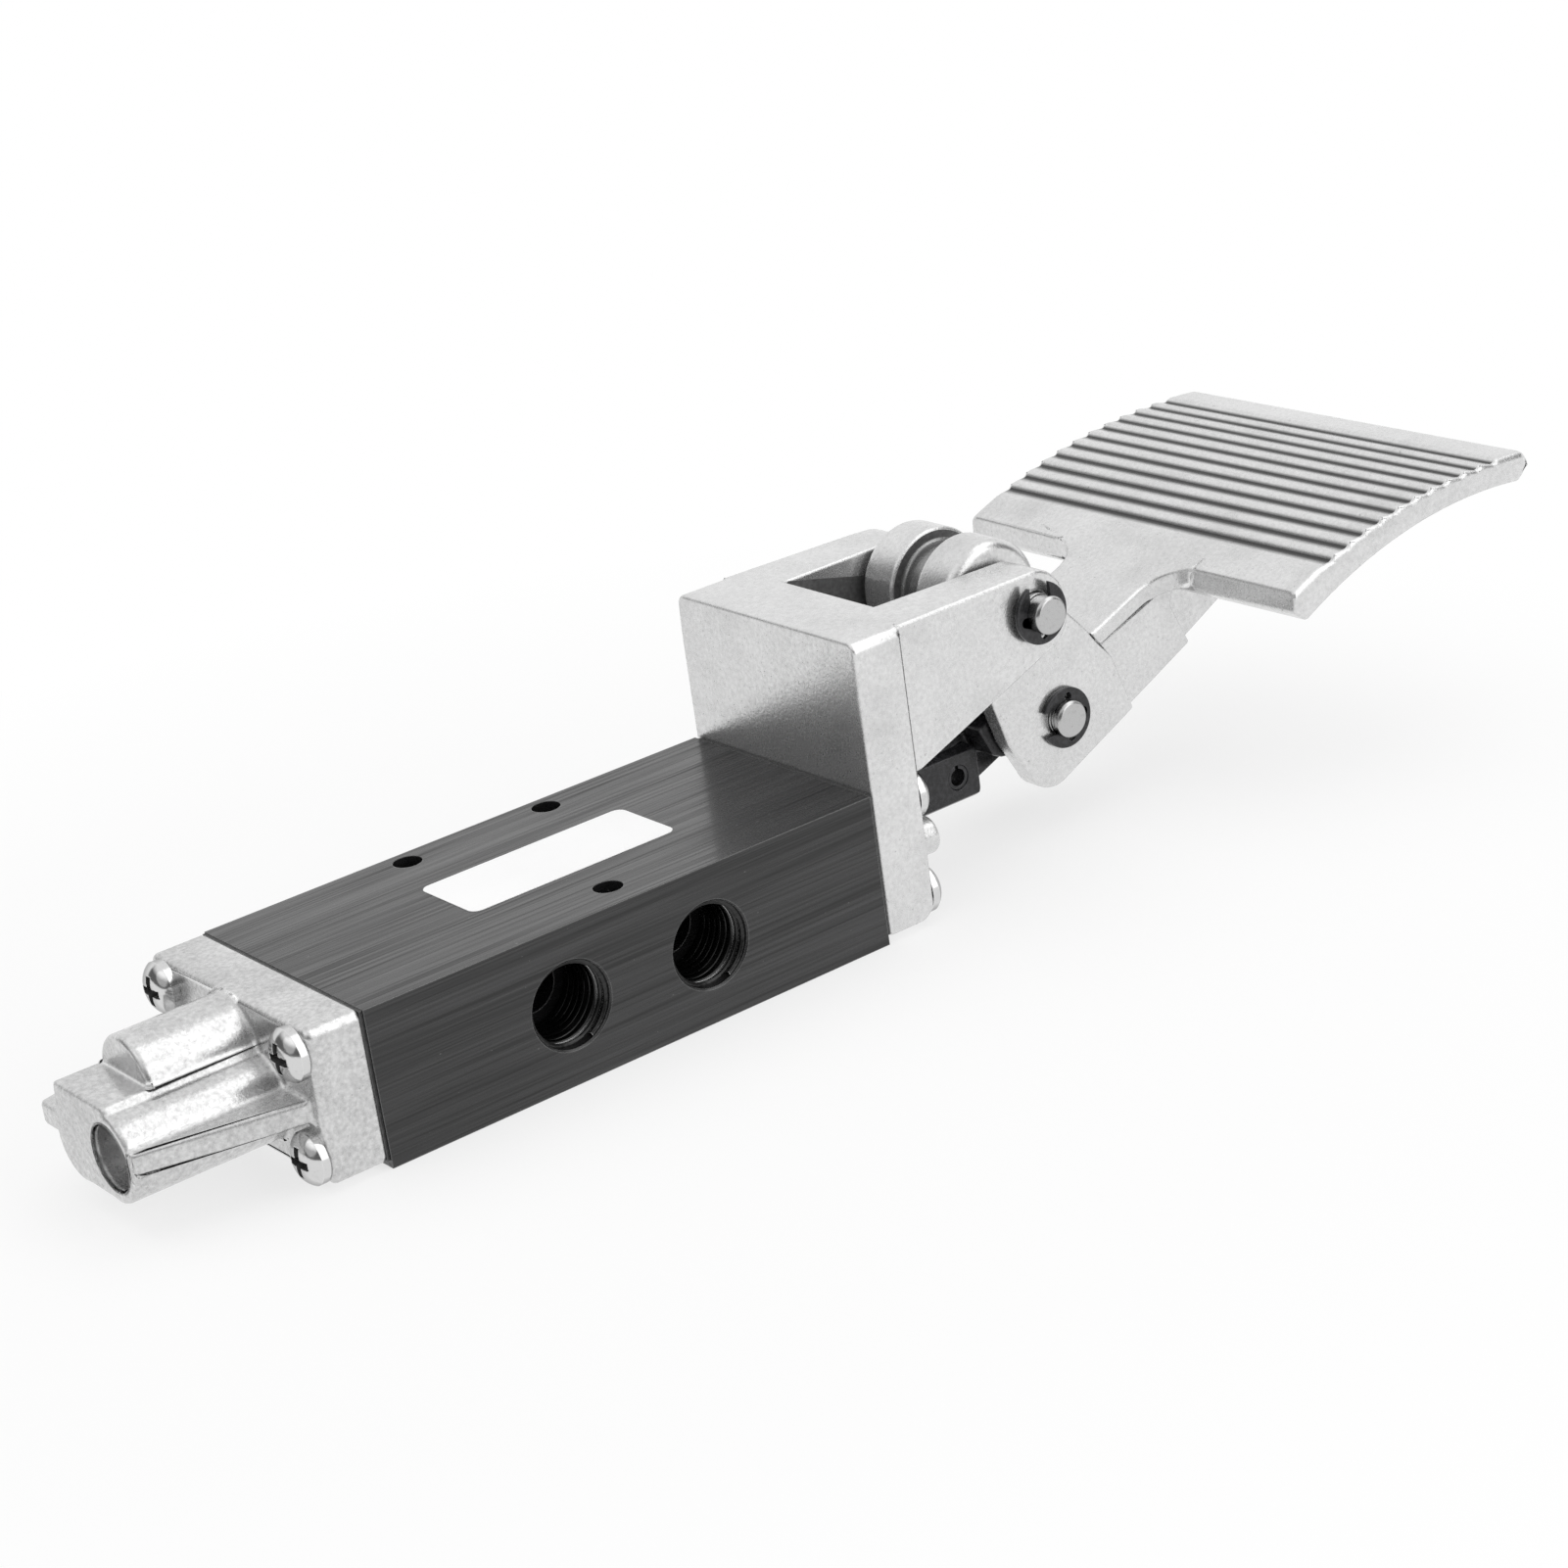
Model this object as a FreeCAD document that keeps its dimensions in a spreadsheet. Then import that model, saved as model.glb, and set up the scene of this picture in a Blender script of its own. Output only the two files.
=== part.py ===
import FreeCAD
import Part
import Sketcher
import math
import os
import re

# Foot pedal air valve: a five-port spool valve worked by a hinged pedal, in millimetres.
# Origin at the centre of the body's underside, X towards the pedal, Z up.

doc = FreeCAD.newDocument("foot_pedal_valve")

# Driving dimensions
SIZES = {
    "body_length": 88.6,
    "body_width": 43.6,
    "body_height": 24.0,
    "spool_height": 12.0,
    "spool_bore_radius": 7.0,
    "gallery_radius": 8.6,
    "gallery_width": 5.5,
    "port_radius": 6.58,
    "port_depth": 11.0,
    "port_drill_radius": 4.3,
    "port_chamfer": 0.26,
    "port_pitch": 12.28,
    "port_middle": 0.35,
    "mount_hole_radius": 2.25,
    "mount_pair_pitch": 25.0,
    "mount_pair_middle": 0.8,
    "mount_pair_offset": 18.3,
    "mount_single_offset": 15.7,
    "gasket_thickness": 0.5,
    "gasket_hole_radius": 7.4,
    "running_clearance": 0.05,
    "seat_clearance": 0.02,
    "screw_radius": 2.0,
    "screw_clearance": 0.25,
    "screw_engagement": 10.0,
    "screw_head_radius": 4.0,
    "screw_head_height": 2.7,
    "screw_spread": 35.6,
    "screw_low": 4.6,
    "screw_rise": 15.6,
    "cap_plate": 8.6,
    "cap_bottom": 0.9,
    "cap_top": 24.2,
    "cap_boss_length": 24.4,
    "cap_boss_top": 18.3,
    "cap_boss_bottom": 4.3,
    "cap_boss_half": 7.2,
    "cap_near_radius": 6.6,
    "cap_near_offset": 6.6,
    "cap_near_height": 10.75,
    "cap_far_radius": 5.75,
    "cap_far_offset": 3.4,
    "cap_far_height": 9.9,
    "cap_pilot_radius": 4.7,
    "cap_pilot_depth": 6.0,
    "cap_pilot_chamfer": 0.4,
    "cap_wing_low": 9.9,
    "cap_wing_thickness": 3.5,
    "cap_wing_root": 19.3,
    "cap_wing_tip": 13.2,
    "cap_stub_radius": 7.1,
    "cap_stub_height": 16.9,
    "cap_stub_length": 16.9,
    "cap_stub_round": 0.8,
    "cap_corner_round": 1.5,
    "cap_wing_round": 1.2,
    "cap_rim_round": 1.0,
    "cavity_radius": 5.5,
    "cavity_end_wall": 8.0,
    "bracket_plate": 8.9,
    "bracket_bottom": 1.1,
    "bracket_top": 47.7,
    "bracket_web": 4.1,
    "arm_half_root": 21.1,
    "arm_half_end": 20.0,
    "slot_half_root": 10.9,
    "slot_half_end": 11.8,
    "arm_low": 24.3,
    "arm_slope": 0.337,
    "lug_radius": 6.3,
    "bracket_boss_radius": 3.0,
    "bracket_boss_height": 3.5,
    "bracket_boss_level": 12.6,
    "bracket_corner_round": 1.8,
    "bracket_foot_round": 3.0,
    "rod_hole_clearance": 0.5,
    "wiper_pocket_radius": 8.0,
    "wiper_pocket_depth": 3.0,
    "wiper_thickness": 2.4,
    "fulcrum_reach": 81.0,
    "fulcrum_height": 41.2,
    "pin_radius": 3.0,
    "fulcrum_pin_overhang": 4.1,
    "clip_radius": 4.9,
    "clip_thickness": 0.8,
    "clip_groove_radius": 2.5,
    "clip_groove_room": 0.03,
    "pin_end_chamfer": 0.4,
    "clip_standoff": 1.0,
    "lever_angle": 24.0,
    "hub_radius": 9.4,
    "hub_half": 10.6,
    "hub_groove_half": 2.75,
    "hub_groove_radius": 7.2,
    "hub_chamfer": 1.1,
    "fork_gap_half": 6.8,
    "fork_bottom": 34.6,
    "fork_back": 8.4,
    "fork_roof": 13.5,
    "crank_across": 0.9,
    "crank_length": 25.5,
    "link_pin_overhang": 2.3,
    "neck_half": 9.4,
    "neck_top": 18.2,
    "neck_end": 28.7,
    "neck_flare": 6.5,
    "neck_flare_depth": 3.2,
    "neck_lip": 0.6,
    "web_half": 8.4,
    "web_wall": 3.0,
    "web_reach": 160.0,
    "pedal_half": 38.25,
    "pedal_rear": 117.6,
    "pedal_tip": 171.7,
    "pedal_edge": 0.7,
    "tread_reach": 159.3,
    "tread_depth": 65.5,
    "tread_radius": 109.8,
    "belly_reach": 158.4,
    "belly_depth": 47.8,
    "belly_radius": 87.5,
    "rib_pitch_angle": 1.988,
    "rib_first_angle": 19.2,
    "rib_depth": 0.85,
    "rib_count": 11,
    "rod_radius": 5.0,
    "tail_half": 3.3,
    "tail_flat_gap": 6.3,
    "tail_overhang": 4.2,
    "tail_corner": 2.2,
    "roll_pin_radius": 2.0,
    "roll_pin_wall": 0.6,
    "tongue_slot_half": 1.7,
    "tongue_slot_length": 8.1,
    "land_radius": 6.7,
    "land_half": 2.2,
    "spool_core_radius": 3.8,
    "seal_section": 1.0,
    "seal_squeeze_radius": 6.95,
    "groove_room": 0.02,
    "front_seal_inset": 13.3,
    "stop_gap": 0.1,
    "bush_length": 4.9,
    "bush_seal_section": 0.7,
    "seat_length": 5.4,
    "seat_floor": 1.5,
    "seat_radius": 6.4,
    "seat_wall": 1.0,
    "spigot_radius": 2.5,
    "spigot_length": 4.0,
    "spring_radius": 4.2,
    "spring_wire_radius": 0.6,
    "spring_pitch": 3.6,
    "link_run": 16.594,
    "link_half": 6.5,
    "link_boss_radius": 6.4,
    "link_tail_gap": 0.66,
    "link_lower_edge": 0.6,
    "link_tongue_half": 1.45,
    "link_tongue_radius": 4.1,
    "open_pivot_clearance": 0.25,
}

sheet = doc.addObject("Spreadsheet::Sheet", "sizes")
for row, (word, number) in enumerate(SIZES.items(), start=1):
    sheet.set(f"A{row}", word)
    sheet.set(f"B{row}", repr(number))
    sheet.setAlias(f"B{row}", word)
doc.recompute()

# Places that follow from the driving dimensions
FRONT = "-body_length / 2"
REAR = "body_length / 2"
CAP_FACE = "(-body_length / 2 - gasket_thickness)"
CAP_OUTER = "(-body_length / 2 - gasket_thickness - cap_plate)"
CAP_END = "(-body_length / 2 - gasket_thickness - cap_plate - cap_boss_length)"
CAVITY_END = f"({CAP_END} + cavity_end_wall)"
PLATE_FACE = "(body_length / 2 + gasket_thickness)"
PLATE_REAR = "(body_length / 2 + gasket_thickness + bracket_plate)"
ARM_ROOT = "(body_length / 2 + gasket_thickness + bracket_plate + bracket_web)"
ARM_END = "(fulcrum_reach + lug_radius)"
FRONT_SEAL = "(front_seal_inset - body_length / 2)"
REAR_SEAL = "(body_length / 2 - bush_length - land_half - stop_gap)"
SHOULDER = f"({FRONT_SEAL} - land_half - stop_gap)"
PIN_FIT = "(pin_radius + seat_clearance)"
PIN_RUN = "(pin_radius + running_clearance)"


def lever_point(across, up):
    """Place of a point given across and up the fork, seen from the fulcrum."""
    cosine, sine = "cos(lever_angle * 1 deg)", "sin(lever_angle * 1 deg)"
    return (
        f"(fulcrum_reach + ({across}) * {cosine} - ({up}) * {sine})",
        f"(fulcrum_height + ({across}) * {sine} + ({up}) * {cosine})",
    )


def tread_top(reach):
    """Height of the tread's upper arc at a reach."""
    return f"(sqrt(tread_radius ^ 2 - ({reach} - tread_reach) ^ 2) - tread_depth)"


def tread_belly(reach):
    """Height of the tread's lower arc at a reach."""
    return f"(sqrt(belly_radius ^ 2 - ({reach} - belly_reach) ^ 2) - belly_depth)"


CRANK_X, CRANK_Z = lever_point("crank_across", "-crank_length")
ROLL_PIN_X = f"({CRANK_X} - link_run)"
TAIL_END = f"({ROLL_PIN_X} + tail_overhang)"


def cells(text):
    """Point each size named in an expression at its cell in the sheet."""
    return re.sub(r"[a-z]\w+", lambda m: "sizes." + m[0] if m[0] in SIZES else m[0], str(text))


def value(text):
    """The number that an expression in size names stands for now."""
    return float(doc.sizes.evalExpression(cells(text)))


def bind(item, **properties):
    """Bind properties of an object to expressions in size names."""
    for path, text in properties.items():
        item.setExpression(path.replace("__", "."), cells(text))


def body(label):
    """A new body that becomes one node."""
    item = doc.addObject("PartDesign::Body", label)
    item.Label = label
    return item


def sketch(owner, plane, name, offset="0", across="0", up="0", turn="0"):
    """A sketch on a body's origin plane, moved along its normal, in its plane, and turned in it."""
    item = owner.newObject("Sketcher::SketchObject", name)
    support = [part for part in owner.Origin.OriginFeatures if part.Role == plane][0]
    item.AttachmentSupport = [(support, "")]
    item.MapMode = "FlatFace"
    bind(
        item,
        AttachmentOffset__Base__x=across,
        AttachmentOffset__Base__y=up,
        AttachmentOffset__Base__z=offset,
        AttachmentOffset__Rotation__Angle=turn,
    )
    doc.recompute()
    return item


def pinned(item, geometry, point, across, up):
    """Hold one point of a sketch at two expressions."""
    for kind, text in (("DistanceX", across), ("DistanceY", up)):
        index = item.addConstraint(Sketcher.Constraint(kind, -1, 1, geometry, point, value(text)))
        item.setExpression(f"Constraints[{index}]", cells(text))


def circle(item, across, up, radius):
    """A circle in a sketch, with its centre and radius bound."""
    centre = FreeCAD.Vector(value(across), value(up), 0)
    number = item.addGeometry(Part.Circle(centre, FreeCAD.Vector(0, 0, 1), value(radius)), False)
    pinned(item, number, 3, across, up)
    index = item.addConstraint(Sketcher.Constraint("Radius", number, value(radius)))
    item.setExpression(f"Constraints[{index}]", cells(radius))


def outline(item, corners):
    """A closed outline in a sketch. A corner is two expressions, and a third and fourth
    give a point that the edge leaving it passes through as an arc."""
    spots = [FreeCAD.Vector(value(corner[0]), value(corner[1]), 0) for corner in corners]
    for index, corner in enumerate(corners):
        start, end = spots[index], spots[(index + 1) % len(spots)]
        after = corners[(index + 1) % len(spots)]
        if len(corner) == 4:
            through = FreeCAD.Vector(value(corner[2]), value(corner[3]), 0)
            leftward = (through - start).cross(end - start).z > 0
            first, last = (1, 2) if leftward else (2, 1)
            arc = Part.Arc(start, through, end) if leftward else Part.Arc(end, through, start)
            number = item.addGeometry(arc, False)
            pinned(item, number, first, corner[0], corner[1])
            pinned(item, number, last, after[0], after[1])
            middle = item.addGeometry(Part.Point(through), True)
            pinned(item, middle, 1, corner[2], corner[3])
            item.addConstraint(Sketcher.Constraint("PointOnObject", middle, 1, number))
        else:
            number = item.addGeometry(Part.LineSegment(start, end), False)
            pinned(item, number, 1, corner[0], corner[1])
            pinned(item, number, 2, after[0], after[1])


def rectangle(item, left, right, low, high):
    """A rectangle in a sketch between four expressions."""
    outline(item, [(left, low), (right, low), (right, high), (left, high)])


def settle(item):
    """Recompute the document, and stop at once if the object that was just made failed."""
    doc.recompute()
    if "Invalid" in item.State or "Error" in item.State:
        raise RuntimeError(f"{item.Label} failed: {item.State}")


def feature(owner, kind, name, profile, length=None, both=False, back=False, through=False):
    """A pad or pocket of a sketch, which must change the body's volume."""
    before = owner.Shape.Volume if owner.Tip else 0.0
    item = owner.newObject(f"PartDesign::{kind}", name)
    item.Profile = profile
    item.Midplane = both
    item.Reversed = back
    if through:
        item.Type = "ThroughAll"
    else:
        bind(item, Length=length)
    settle(item)
    if abs(owner.Shape.Volume - before) < 1e-3:
        raise RuntimeError(f"{owner.Label}.{name} changes nothing")
    return item


def pad(owner, name, profile, length, both=False, back=False):
    return feature(owner, "Pad", name, profile, length, both, back)


def pocket(owner, name, profile, length="1", both=False, back=False, through=False):
    return feature(owner, "Pocket", name, profile, length, both, back, through)


def turned(owner, name, profile, kind="Revolution"):
    """A full turn of a sketch about the sketch's own horizontal axis."""
    item = owner.newObject(f"PartDesign::{kind}", name)
    item.Profile = profile
    item.ReferenceAxis = (profile, ["H_Axis"])
    item.Angle = 360
    settle(item)
    return item


def edges(owner, wanted):
    """Names of the edges of a body that a test accepts."""
    shape = owner.Shape
    return [f"Edge{index}" for index, edge in enumerate(shape.Edges, start=1) if wanted(edge)]


def straight(edge, axis, **near):
    """Whether an edge is straight along an axis and its middle lies at the given places."""
    if not isinstance(edge.Curve, Part.Line):
        return False
    direction = edge.Curve.Direction
    if abs(getattr(direction, axis)) < 0.999:
        return False
    middle = edge.valueAt((edge.FirstParameter + edge.LastParameter) / 2)
    return all(abs(getattr(middle, side) - value(text)) < 0.02 for side, text in near.items())


def rounded(owner, name, wanted, radius, kind="Fillet"):
    """Fillet or chamfer the edges that a test accepts."""
    names = edges(owner, wanted)
    if not names:
        raise RuntimeError(f"{owner.Label}.{name} finds no edge")
    base = owner.Tip
    item = owner.newObject(f"PartDesign::{kind}", name)
    item.Base = (base, names)
    if kind == "Fillet":
        bind(item, Radius=radius)
    else:
        bind(item, Size=radius)
    settle(item)
    return item


def group(label, source, places):
    """One node of equal pieces: a copy of the source at each place, with its turn about Y."""
    copies = []
    for index, (across, along, up, turn) in enumerate(places, start=1):
        copy = doc.addObject("App::Link", f"{label}_{index}")
        copy.LinkedObject = source
        copy.Placement = FreeCAD.Placement(FreeCAD.Vector(), turn)
        bind(copy, Placement__Base__x=across, Placement__Base__y=along, Placement__Base__z=up)
        copies.append(copy)
    item = doc.addObject("Part::Compound", label)
    item.Label = label
    item.Links = copies
    doc.recompute()
    return item


UPRIGHT = FreeCAD.Rotation()
FACING_FRONT = FreeCAD.Rotation(FreeCAD.Vector(0, 1, 0), -90)
FACING_REAR = FreeCAD.Rotation(FreeCAD.Vector(0, 1, 0), 90)
SCREW_SIDES = ("-screw_spread / 2", "screw_spread / 2")
SCREW_LEVELS = ("screw_low", "screw_low + screw_rise")


def screw_holes(owner, name, offset, radius, length, both=False, back=False, through=False):
    """The four holes of a cover on a plane across the body."""
    holes = sketch(owner, "YZ_Plane", f"{name}_circles", offset)
    for side in SCREW_SIDES:
        for level in SCREW_LEVELS:
            circle(holes, side, level, radius)
    pocket(owner, name, holes, length, both, back, through)


def valve_body():
    """Extruded block with the spool bore, five galleries, five ports and its bolt holes."""
    block = body("valve_body")
    plan = sketch(block, "XY_Plane", "plan")
    rectangle(plan, FRONT, REAR, "-body_width / 2", "body_width / 2")
    pad(block, "block", plan, "body_height")

    bore = sketch(block, "YZ_Plane", "bore_circle", FRONT)
    circle(bore, "0", "spool_height", "spool_bore_radius")
    pocket(block, "bore", bore, "body_length", back=True)
    for number in range(-2, 3):
        place = f"(port_middle + port_pitch * {number})"
        ring = sketch(block, "YZ_Plane", f"gallery_circle_{number + 3}", f"{place} - gallery_width / 2")
        circle(ring, "0", "spool_height", "gallery_radius")
        pocket(block, f"gallery_{number + 3}", ring, "gallery_width", back=True)

    for side, numbers in (("near", (-1, 1)), ("far", (-2, 0, 2))):
        face = "body_width / 2" if side == "near" else "-body_width / 2"
        for kind, radius, depth in (
            ("port", "port_radius", "port_depth"),
            ("drill", "port_drill_radius", "body_width / 2 - spool_bore_radius + 1"),
        ):
            mouths = sketch(block, "XZ_Plane", f"{side}_{kind}_circles", face)
            for number in numbers:
                circle(mouths, f"port_middle + port_pitch * {number}", "spool_height", radius)
            pocket(block, f"{side}_{kind}", mouths, depth, back=(side == "far"))

    def port_mouth(edge):
        return (
            isinstance(edge.Curve, Part.Circle)
            and abs(edge.Curve.Radius - value("port_radius")) < 1e-3
            and abs(abs(edge.Curve.Center.y) - value("body_width / 2")) < 1e-3
        )

    rounded(block, "port_chamfers", port_mouth, "port_chamfer", "Chamfer")

    holes = sketch(block, "XY_Plane", "mount_circles")
    for side in (-1, 1):
        circle(
            holes,
            f"mount_pair_middle + mount_pair_pitch / 2 * {side}",
            "mount_pair_offset",
            "mount_hole_radius",
        )
    circle(holes, "mount_pair_middle", "-mount_single_offset", "mount_hole_radius")
    pocket(block, "mount_holes", holes, "body_height", back=True)

    tap, deep = "screw_radius + seat_clearance", "screw_engagement + 1"
    screw_holes(block, "front_taps", FRONT, tap, deep, back=True)
    screw_holes(block, "rear_taps", REAR, tap, deep)
    return block


def front_end_cap():
    """Cast cap: a plate, the spring housing with its stub, a pilot boss and two side wings."""
    cap = body("front_end_cap")
    plate = sketch(cap, "YZ_Plane", "plate_outline", CAP_OUTER)
    rectangle(plate, "-body_width / 2", "body_width / 2", "cap_bottom", "cap_top")
    pad(cap, "plate", plate, "cap_plate")

    middle = sketch(cap, "YZ_Plane", "middle_outline", CAP_END)
    rectangle(middle, "-cap_boss_half", "cap_far_offset", "cap_boss_bottom", "cap_boss_top")
    pad(cap, "middle", middle, "cap_boss_length + 1")
    for side, sign in (("near", "-"), ("far", "")):
        boss = sketch(cap, "YZ_Plane", f"{side}_circle", CAP_END)
        circle(boss, f"{sign}cap_{side}_offset", f"cap_{side}_height", f"cap_{side}_radius")
        pad(cap, f"{side}_boss", boss, "cap_boss_length + 1")
    shoulder = sketch(cap, "YZ_Plane", "shoulder_outline", CAP_END)
    outline(
        shoulder,
        [
            ("0", "cap_far_height"),
            ("cap_far_offset + cap_far_radius", "cap_far_height"),
            ("cap_boss_half", "cap_boss_top"),
            ("0", "cap_boss_top"),
        ],
    )
    pad(cap, "shoulder", shoulder, "cap_boss_length + 1")

    wings = sketch(cap, "XY_Plane", "wing_outline", "cap_wing_low")
    outline(
        wings,
        [
            (CAP_OUTER, "-cap_wing_root"),
            (CAP_OUTER, "cap_wing_root"),
            (f"{CAP_END}", "cap_wing_tip"),
            (f"{CAP_END}", "-cap_wing_tip"),
        ],
    )
    pad(cap, "wings", wings, "cap_wing_thickness")

    stub = sketch(cap, "YZ_Plane", "stub_circle", f"{CAP_OUTER} - cap_stub_length")
    circle(stub, "0", "cap_stub_height", "cap_stub_radius")
    pad(cap, "stub", stub, "cap_stub_length + 1")

    cavity = sketch(cap, "YZ_Plane", "cavity_circle", CAVITY_END)
    circle(cavity, "0", "spool_height", "cavity_radius")
    pocket(cap, "cavity", cavity, f"{CAP_FACE} - {CAVITY_END}", back=True)

    pilot = sketch(cap, "YZ_Plane", "pilot_circle", CAP_END)
    circle(pilot, "-cap_near_offset", "cap_near_height", "cap_pilot_radius")
    pocket(cap, "pilot_bore", pilot, "cap_pilot_depth", back=True)

    screw_holes(cap, "screw_holes", CAP_OUTER, "screw_radius + screw_clearance", "cap_plate", back=True)

    def plate_corner(edge):
        return any(
            straight(edge, "x", y=side, z=level)
            for side in ("-body_width / 2", "body_width / 2")
            for level in ("cap_bottom", "cap_top")
        )

    rounded(cap, "plate_corners", plate_corner, "cap_corner_round")

    def wing_corner(edge):
        return straight(edge, "z", x=CAP_END, z="cap_wing_low + cap_wing_thickness / 2")

    def plate_rim(edge):
        return straight(edge, "y", x=CAP_OUTER, z="cap_bottom")

    def stub_rim(edge):
        return (
            isinstance(edge.Curve, Part.Circle)
            and abs(edge.Curve.Radius - value("cap_stub_radius")) < 1e-3
            and abs(edge.Curve.Center.x - value(f"{CAP_OUTER} - cap_stub_length")) < 1e-3
        )

    rounded(cap, "wing_corners", wing_corner, "cap_wing_round")
    rounded(cap, "plate_rim", plate_rim, "cap_rim_round")
    rounded(cap, "stub_rim", stub_rim, "cap_stub_round")
    rounded(
        cap,
        "pilot_chamfer",
        lambda edge: isinstance(edge.Curve, Part.Circle)
        and abs(edge.Curve.Radius - value("cap_pilot_radius")) < 1e-3
        and abs(edge.Curve.Center.x - value(CAP_END)) < 1e-3,
        "cap_pilot_chamfer",
        "Chamfer",
    )
    return cap


def gasket(label, face, low, high):
    """Flat gasket between the block and a cover, open at the bore and the four screws."""
    sheet_body = body(label)
    rim = sketch(sheet_body, "YZ_Plane", "rim", face)
    rectangle(rim, "-body_width / 2 + 0.3", "body_width / 2 - 0.3", f"{low} + 0.3", f"{high} - 0.3")
    circle(rim, "0", "spool_height", "gasket_hole_radius")
    for side in SCREW_SIDES:
        for level in SCREW_LEVELS:
            circle(rim, side, level, "screw_radius + screw_clearance")
    pad(sheet_body, "sheet", rim, "gasket_thickness")
    return sheet_body


def cover_screw(label, grip):
    """Pan-head screw with a domed head and a cross recess, along +Z from its seat plane."""
    item = body(label)
    half = sketch(item, "XZ_Plane", "half_profile", turn="90")
    outline(
        half,
        [
            (f"-({grip} + gasket_thickness + screw_engagement)", "0"),
            (f"-({grip} + gasket_thickness + screw_engagement)", "-screw_radius"),
            ("0", "-screw_radius"),
            ("0", "-screw_head_radius"),
            (
                "screw_head_height * 0.45",
                "-screw_head_radius",
                "screw_head_height * 0.9",
                "-screw_head_radius * 0.7",
            ),
            ("screw_head_height", "0"),
        ],
    )
    turned(item, "turning", half)
    cross = sketch(item, "XY_Plane", "cross", "screw_head_height")
    arm, wide = "screw_head_radius * 0.55", "screw_head_radius * 0.13"
    outline(
        cross,
        [
            (f"-({arm})", f"-({wide})"),
            (f"-({wide})", f"-({wide})"),
            (f"-({wide})", f"-({arm})"),
            (wide, f"-({arm})"),
            (wide, f"-({wide})"),
            (arm, f"-({wide})"),
            (arm, wide),
            (wide, wide),
            (wide, arm),
            (f"-({wide})", arm),
            (f"-({wide})", wide),
            (f"-({arm})", wide),
        ],
    )
    pocket(item, "recess", cross, "screw_head_height * 0.7")
    return item


def screw_group(label, source, face, turn):
    """Four cover screws with their heads on a face."""
    places = [(face, side, level, turn) for side in SCREW_SIDES for level in SCREW_LEVELS]
    return group(label, source, places)


def lever_bracket():
    """Cast rear cover whose two arms carry the fulcrum pin."""
    cast = body("lever_bracket")
    plate = sketch(cast, "YZ_Plane", "plate_outline", PLATE_FACE)
    rectangle(plate, "-body_width / 2", "body_width / 2", "bracket_bottom", "bracket_top")
    pad(cast, "plate", plate, "bracket_plate")

    def top_corner(edge):
        sides = ("-body_width / 2", "body_width / 2")
        return any(straight(edge, "x", y=side, z="bracket_top") for side in sides)

    rounded(cast, "top_corners", top_corner, "bracket_corner_round")

    low_end = f"(arm_low + ({ARM_END} - 4.4 - {PLATE_REAR}) * arm_slope)"
    side = sketch(cast, "XZ_Plane", "arm_side")
    outline(
        side,
        [
            (PLATE_REAR, "arm_low"),
            (f"{PLATE_REAR} + 0.9", "arm_low"),
            (f"{ARM_END} - 4.4", low_end, f"{ARM_END} - 1.2", f"{low_end} + 1.7"),
            (
                ARM_END,
                "fulcrum_height",
                "fulcrum_reach + lug_radius * sqrt(0.5)",
                "fulcrum_height + lug_radius * sqrt(0.5)",
            ),
            ("fulcrum_reach", "fulcrum_height + lug_radius"),
            (PLATE_REAR, "bracket_top"),
        ],
    )
    pad(cast, "arms", side, "arm_half_root * 2", both=True)

    trim = sketch(cast, "XY_Plane", "arm_plan", "arm_low - 1")
    beyond = f"({ARM_END} + 3)"
    taper = f"(({beyond} - {ARM_ROOT}) / ({ARM_END} - {ARM_ROOT}))"
    wide = f"(slot_half_root + (slot_half_end - slot_half_root) * {taper})"
    narrow = f"(arm_half_root + (arm_half_end - arm_half_root) * {taper})"
    outline(
        trim,
        [
            (ARM_ROOT, "-slot_half_root"),
            (beyond, f"-{wide}"),
            (beyond, wide),
            (ARM_ROOT, "slot_half_root"),
        ],
    )
    for sign in ("-", ""):
        outline(
            trim,
            [
                (PLATE_REAR, f"{sign}arm_half_root"),
                (beyond, f"{sign}{narrow}"),
                (beyond, f"{sign}(arm_half_root + 3)"),
                (PLATE_REAR, f"{sign}(arm_half_root + 3)"),
            ],
        )
    pocket(cast, "slot_and_taper", trim, "bracket_top", back=True)

    bosses = sketch(cast, "YZ_Plane", "boss_circles", f"{PLATE_REAR} - 1")
    for spot in SCREW_SIDES:
        circle(bosses, spot, "bracket_boss_level", "bracket_boss_radius")
    pad(cast, "bosses", bosses, "bracket_boss_height + 1")

    rod = sketch(cast, "YZ_Plane", "rod_circle", PLATE_FACE)
    circle(rod, "0", "spool_height", "rod_radius + rod_hole_clearance")
    pocket(cast, "rod_hole", rod, "bracket_plate", back=True)
    wiper = sketch(cast, "YZ_Plane", "wiper_circle", PLATE_REAR)
    circle(wiper, "0", "spool_height", "wiper_pocket_radius")
    pocket(cast, "wiper_pocket", wiper, "wiper_pocket_depth")

    pin = sketch(cast, "XZ_Plane", "pin_circle")
    circle(pin, "fulcrum_reach", "fulcrum_height", PIN_FIT)
    pocket(cast, "pin_holes", pin, "body_width * 2", both=True)
    screw_holes(cast, "screw_holes", PLATE_FACE, "screw_radius + screw_clearance", "bracket_plate", back=True)

    def foot_edge(edge):
        return straight(edge, "y", x=PLATE_REAR, z="bracket_bottom")

    rounded(cast, "foot_round", foot_edge, "bracket_foot_round")
    return cast


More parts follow.
